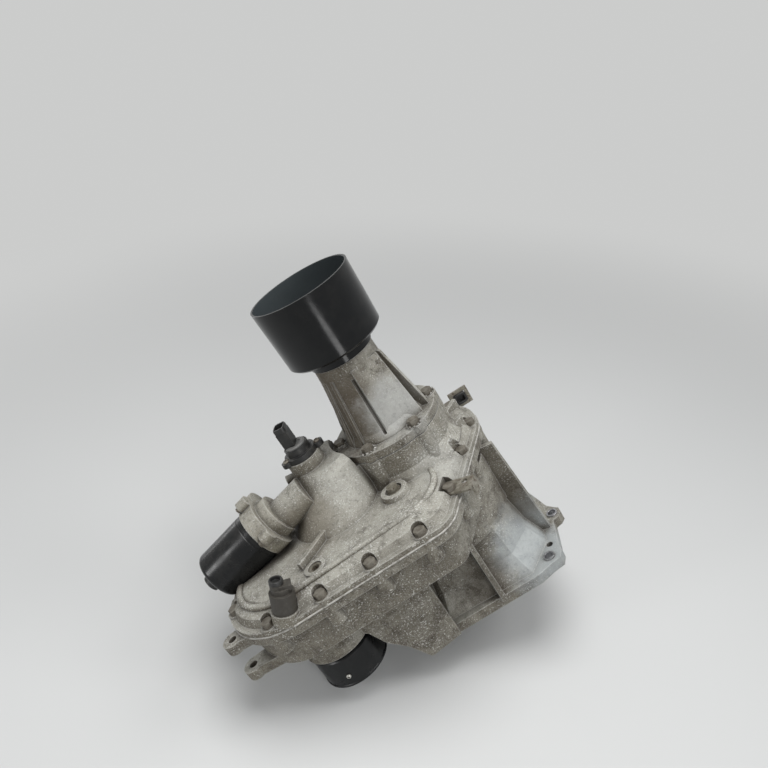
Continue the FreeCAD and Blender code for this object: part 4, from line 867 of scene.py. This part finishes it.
class CASE_OT_steels(bpy.types.Operator):
    """Finishes of the shafts, gears, bolts, plugs, gaskets, seals, sensors and the winding"""
    bl_idname = "transfer_case.steels"
    bl_label = "Steels, seals and plastics"

    def execute(self, context):
        tones = look()
        machined = worn_steel("machined_steel", tones, (0.50, 0.50, 0.52), (0.34, 0.34, 0.35),
                              rust_amount=0.0, roughness=0.3, metal=0.9, dirt=0.1)
        give(machined, "flange_bushes", "fork_rail", "input_shaft", "main_shaft", "planet_carrier",
             "ring_gear", "range_sleeve", "control_shaft", "ramp_ring", "front_output_shaft",
             "pressure_plate", "clutch_drum", "clutch_hub", "drive_sprocket", "driven_sprocket",
             "planet_gear_1", "planet_gear_2", "planet_gear_3", "planet_gear_4")
        give(worn_steel("bearing_steel", tones, (0.62, 0.62, 0.64), (0.5, 0.5, 0.52),
                        rust_amount=0.0, roughness=0.2, metal=0.9, dirt=0.1),
             "bearing_outer_rings", "input_bearing_inner", "main_bearing_inners", "front_bearing_inners",
             "chain", "pump_rotor")
        give(worn_steel("friction_faced_steel", tones, (0.33, 0.28, 0.22), (0.24, 0.2, 0.16),
                        rust_amount=0.2, roughness=0.6, metal=0.7),
             "clutch_inner_plates", "clutch_outer_plates")
        give(worn_steel("dirty_bolt_steel", tones, (0.20, 0.185, 0.155), (0.10, 0.087, 0.068),
                        rust_amount=0.12, roughness=0.6, metal=0.3),
             "cover_bolts", "extension_bolts", "rear_nut", "front_nut")
        give(worn_steel("plated_steel", tones, (0.30, 0.285, 0.24), (0.17, 0.155, 0.12),
                        rust_amount=0.35, roughness=0.45, metal=0.5),
             "fill_plug", "level_plug", "wiring_bracket")
        give(moulded("black_plastic", tones, tones.plastic, dust_amount=0.35),
             "position_sensor", "actuator_connector")
        give(moulded("brown_plastic", tones, (0.035, 0.031, 0.025), dust_amount=0.3, roughness=0.6),
             "speed_sensor")
        give(moulded("seal_rubber", tones, tones.plastic, dust_amount=0.15),
             "input_seal", "rear_seal", "front_seal")
        give(moulded("gasket_sheet", tones, tones.plastic, dust_amount=0.3, roughness=0.6),
             "case_gasket", "extension_gasket")
        give(worn_steel("copper_winding", tones, (0.6, 0.33, 0.18), (0.45, 0.22, 0.1),
                        rust_amount=0.0, roughness=0.35, metal=0.9, dirt=0.1),
             "motor_armature")
        return {"FINISHED"}


class CASE_OT_black_parts(bpy.types.Operator):
    """The black-coated cup, collar, flanges and cans"""
    bl_idname = "transfer_case.black_parts"
    bl_label = "Black parts"

    def execute(self, context):
        tones = look()
        give(black_coating("gloss_black", tones, tones.black, gloss=0.1, dust_amount=0.05,
                           inside=tones.inside), "rear_cup", "rear_dust_collar", "rear_flange")
        give(black_coating("can_black", tones, tones.black, gloss=0.24, dust_amount=0.07),
             "front_can", "front_flange", "actuator_motor_can")
        return {"FINISHED"}


class CASE_OT_motor(bpy.types.Operator):
    """The drawn motor can, with a groove in its end face, a rounded end and a groove near its root"""
    bl_idname = "transfer_case.motor"
    bl_label = "Motor can"

    def execute(self, context):
        section = circle(MOTOR_RADIUS, ROUND_STEPS)
        rows = post_points(MOTOR_AT, axis_frame(MOTOR_DIR), section, self.profile())
        piece = piece_from_grids("motor_can_shell", [(rows, False, True)])
        black = black_coating("motor_black", look(), (0.006, 0.0065, 0.007), gloss=0.2, dust_amount=0.12)
        finish_piece(piece, "case", black)
        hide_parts("actuator_motor_can")
        return {"FINISHED"}

    def profile(self):
        """Closed end, groove, quarter-round corner, wall with its groove, then back up the inside."""
        start, radius, wall, turn = MOTOR_START, MOTOR_RADIUS, MOTOR_WALL, MOTOR_CORNER
        end = start + MOTOR_LENGTH
        corner = np.linspace(0, math.pi / 2, 7)
        outer = [(0.0, end), (0.0150, end), (0.0157, end - 0.0008), (0.0165, end - 0.0008), (0.0172, end)]
        outer += [(radius - turn + turn * math.sin(a), end - turn + turn * math.cos(a)) for a in corner]
        outer += [(radius, start + 0.009), (radius - 0.0007, start + 0.0082),
                  (radius - 0.0007, start + 0.0068), (radius, start + 0.006), (radius, start)]
        inner = [(radius - wall, start), (radius - wall, end - wall - 0.002), (0.0, end - wall)]
        return [(r / radius, h) for r, h in outer + inner]


class CASE_OT_rail(bpy.types.Operator):
    """The rounded rail on the cover, a half-sunk tube whose ends taper to points"""
    bl_idname = "transfer_case.rail"
    bl_label = "Cover rail"

    def execute(self, context):
        loop = hull_path(RAIL_ROUNDS, 0.0, RAIL_Z)
        turn = np.arctan2(loop[:, 1] - RAIL_MIDDLE[1], loop[:, 0] - RAIL_MIDDLE[0]) % (2 * math.pi)
        loop = loop[np.argsort(turn)]
        turn = np.sort(turn)
        kept = (turn > RAIL_SPAN[0]) & (turn < RAIL_SPAN[1])
        path = loop[kept]
        along = np.linspace(0, 1, len(path))
        taper = np.clip(np.minimum(along, 1 - along) / RAIL_TAPER, 0, 1) ** 0.5
        rows = tube_points(path, sizes().rail_radius * taper, RAIL_SIDES, closed=False)
        tones = look()
        # The rail's top and side tones are painted light and shade
        crusted = cast_alloy("rail_casting", tones, tones.top, tones.side, stain_amount=0.5,
                             crust_amount=0.6)
        rail = piece_from_grids("cover_rail", [(rows, False, True)], SOFT_ANGLE)
        finish_piece(rail, "case", crusted)
        return {"FINISHED"}


def screw_profile(height, flange):
    """A flanged head: foot, flange, neck, body and a chamfered top, as (scale, height)."""
    return [(0.0, 0.0), (flange, 0.0), (flange, height * 0.2), (1.0, height * 0.3), (1.0, height * 0.85),
            (0.86, height), (0.0, height)]


class CASE_OT_fasteners(bpy.types.Operator):
    """Screws of the gear head, of the position sensor and of the front can"""
    bl_idname = "transfer_case.fasteners"
    bl_label = "Small screws"

    def execute(self, context):
        tones = look()
        across = sizes().screw_across
        steel = worn_steel("small_screw_steel", tones, (0.26, 0.24, 0.2), (0.14, 0.125, 0.1),
                           rust_amount=0.3, roughness=0.45, metal=0.6)
        bright = worn_steel("bright_screw_steel", tones, (0.6, 0.59, 0.55), (0.4, 0.39, 0.36),
                            rust_amount=0.05, roughness=0.35, metal=0.8)
        self.gearhead_screws(steel, across)
        self.sensor_screws(steel, across)
        self.can_screw(bright, across)
        return {"FINISHED"}

    def gearhead_screws(self, steel, across):
        """One head on each ear, along the motor's axis."""
        side = np.array((0.0, 1.0, 0.0))
        along = np.array(MOTOR_DIR)
        high = np.cross(side, along)
        section = hexagon(across * EAR_SCREW_SHARE)
        profile = screw_profile(EAR_SCREW_HEIGHT, EAR_SCREW_FLANGE)
        grids = []
        for a, b in EAR_SPOTS:
            foot = np.array(MOTOR_AT) + along * EAR_FACE + side * a + high * b
            grids.append((post_points(foot, (side, high, along), section, profile), False, True))
        finish_piece(piece_from_grids("gearhead_screws", grids), "case", steel)

    def sensor_screws(self, steel, across):
        """One pan head on each ear of the position sensor."""
        c, s = math.cos(SENSOR_TURN), math.sin(SENSOR_TURN)
        section = circle(across * SENSOR_SCREW_SHARE)
        grids = []
        for x, y in SENSOR_EARS:
            foot = np.array(SENSOR_PLACE) + (c * x - s * y, s * x + c * y, SENSOR_EAR_TOP)
            grids.append((post_points(foot, np.eye(3), section, PAN_HEAD), False, True))
        finish_piece(piece_from_grids("sensor_screws", grids), "case", steel)

    def can_screw(self, bright, across):
        """A small screw on the outside of the front can, square to its wall."""
        out = np.array((math.cos(CAN_SCREW_TURN), math.sin(CAN_SCREW_TURN), 0.0))
        foot = np.array((*CAN_AXIS, CAN_SCREW_Z)) + out * (CAN_RADIUS - CAN_SCREW_SUNK)
        rows = post_points(foot, axis_frame(out), circle(across * CAN_SCREW_SHARE), PAN_HEAD)
        screw = piece_from_grids("can_screw", [(rows, False, True)])
        finish_piece(screw, "front_output", bright)


class CASE_OT_connectors(bpy.types.Operator):
    """Connector shrouds of the two sensors, the sensor's cap and the clip in the bracket's window"""
    bl_idname = "transfer_case.connectors"
    bl_label = "Connectors"

    def execute(self, context):
        tones = look()
        plastic = moulded("shroud_plastic", tones, tones.plastic, dust_amount=0.25, roughness=0.4)
        grey = moulded("cap_plastic", tones, (0.16, 0.16, 0.155), dust_amount=0.4, roughness=0.5)
        c, s = math.cos(SENSOR_TURN), math.sin(SENSOR_TURN)
        axes = np.array(((c, s, 0.0), (-s, c, 0.0), (0.0, 0.0, 1.0)))
        seat = np.array(SENSOR_PLACE)
        tower = seat + axes[0] * TOWER_SHIFT[0] + axes[1] * TOWER_SHIFT[1]
        self.add_post("sensor_shroud", tower, axes, soft_rectangle(*TOWER_REACH), TOWER, plastic)
        self.add_post("sensor_cap", seat, axes, circle(CAP_RADIUS), CAP, grey)
        c, s = math.cos(STUB_LEAN), math.sin(STUB_LEAN)
        axes = np.array(((c, 0.0, -s), (0.0, 1.0, 0.0), (s, 0.0, c)))
        top = np.array(STUB_PLACE) - axes[0] * STUB_SHIFT
        self.add_post("stub_shroud", top, axes, circle(STUB_RADIUS), STUB_RING, plastic)
        window = np.array(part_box("wiring_bracket")[1]) - BRACKET_WINDOW
        axes = np.array(((1.0, 0.0, 0.0), (0.0, 0.0, 1.0), (0.0, -1.0, 0.0)))
        self.add_post("window_clip", window, axes, soft_rectangle(*CLIP_REACH), CLIP, plastic)
        return {"FINISHED"}

    def add_post(self, name, place, axes, section, profile, material):
        """A section carried along a profile, as one moulded piece on the case."""
        rows = post_points(place, axes, section, profile)
        finish_piece(piece_from_grids(name, [(rows, False, True)]), "case", material)


class CASE_OT_residue(bpy.types.Operator):
    """Sealant squeezed from the case's joint and lumps of corrosion round the extension's bolts"""
    bl_idname = "transfer_case.residue"
    bl_label = "Sealant and corrosion"

    def execute(self, context):
        tones, settings = look(), sizes()
        random = np.random.default_rng(SEED)
        path = hull_path(OUTLINE, BEAD_INSET, JOINT_Z)
        radius = settings.bead_radius * (1 + BEAD_WOBBLE * uneven(len(path), random))
        rows = np.clip(tube_points(path, radius), *CAD_BOX)
        bead = piece_from_grids("sealant_bead", [(rows, True, True)], SOFT_ANGLE)
        finish_piece(bead, "case", sealant("grey_sealant", tones))
        grids = []
        count = settings.lump_count
        for x, y, top in solid_places("extension_bolts", BOLT_REACH):
            turn = random.uniform(0, 2 * math.pi, count)
            reach = random.uniform(*LUMP_RING, count)
            places = np.stack([x + reach * np.cos(turn), y + reach * np.sin(turn),
                               np.full(count, top - BOLT_HEAD)], axis=1)
            radii = random.uniform(*LUMP_SHARES, count) * settings.lump_radius
            grids += lump_grids(places, radii, random)
        lumps = piece_from_grids("corrosion_lumps", grids, SOFT_ANGLE)
        # The lumps' crust and top tones are a painted lit top and a painted shaded side
        crusty = cast_alloy("crusty_casting", tones, tones.crust, tones.top, stain_amount=0.9,
                            crust_amount=0.3)
        finish_piece(lumps, "case", crusty)
        return {"FINISHED"}


class CASE_PT_panel(bpy.types.Panel):
    """Lists the steps and the settings in the sidebar"""
    bl_label = "Transfer Case"
    bl_idname = "CASE_PT_panel"
    bl_space_type = "VIEW_3D"
    bl_region_type = "UI"
    bl_category = "Transfer Case"

    def draw(self, context):
        layout = self.layout
        for operator in OPERATORS:
            layout.operator(operator.bl_idname)
        for name in CaseLook.__annotations__:
            layout.prop(context.scene.case_look, name)
        for name in CaseSizes.__annotations__:
            layout.prop(context.scene.case_sizes, name)


OPERATORS = (CASE_OT_stage, CASE_OT_castings, CASE_OT_steels, CASE_OT_black_parts, CASE_OT_rail,
             CASE_OT_motor, CASE_OT_fasteners, CASE_OT_connectors, CASE_OT_residue)
CLASSES = (CaseLook, CaseSizes, *OPERATORS, CASE_PT_panel)


def register():
    for cls in CLASSES:
        bpy.utils.register_class(cls)
    bpy.types.Scene.case_look = PointerProperty(type=CaseLook)
    bpy.types.Scene.case_sizes = PointerProperty(type=CaseSizes)


def unregister():
    del bpy.types.Scene.case_sizes
    del bpy.types.Scene.case_look
    for cls in reversed(CLASSES):
        bpy.utils.unregister_class(cls)


def main():
    register()
    bpy.ops.transfer_case.stage()
    bpy.ops.transfer_case.castings()
    bpy.ops.transfer_case.steels()
    bpy.ops.transfer_case.black_parts()
    bpy.ops.transfer_case.rail()
    bpy.ops.transfer_case.motor()
    bpy.ops.transfer_case.fasteners()
    bpy.ops.transfer_case.connectors()
    bpy.ops.transfer_case.residue()


if __name__ == "__main__":
    main()
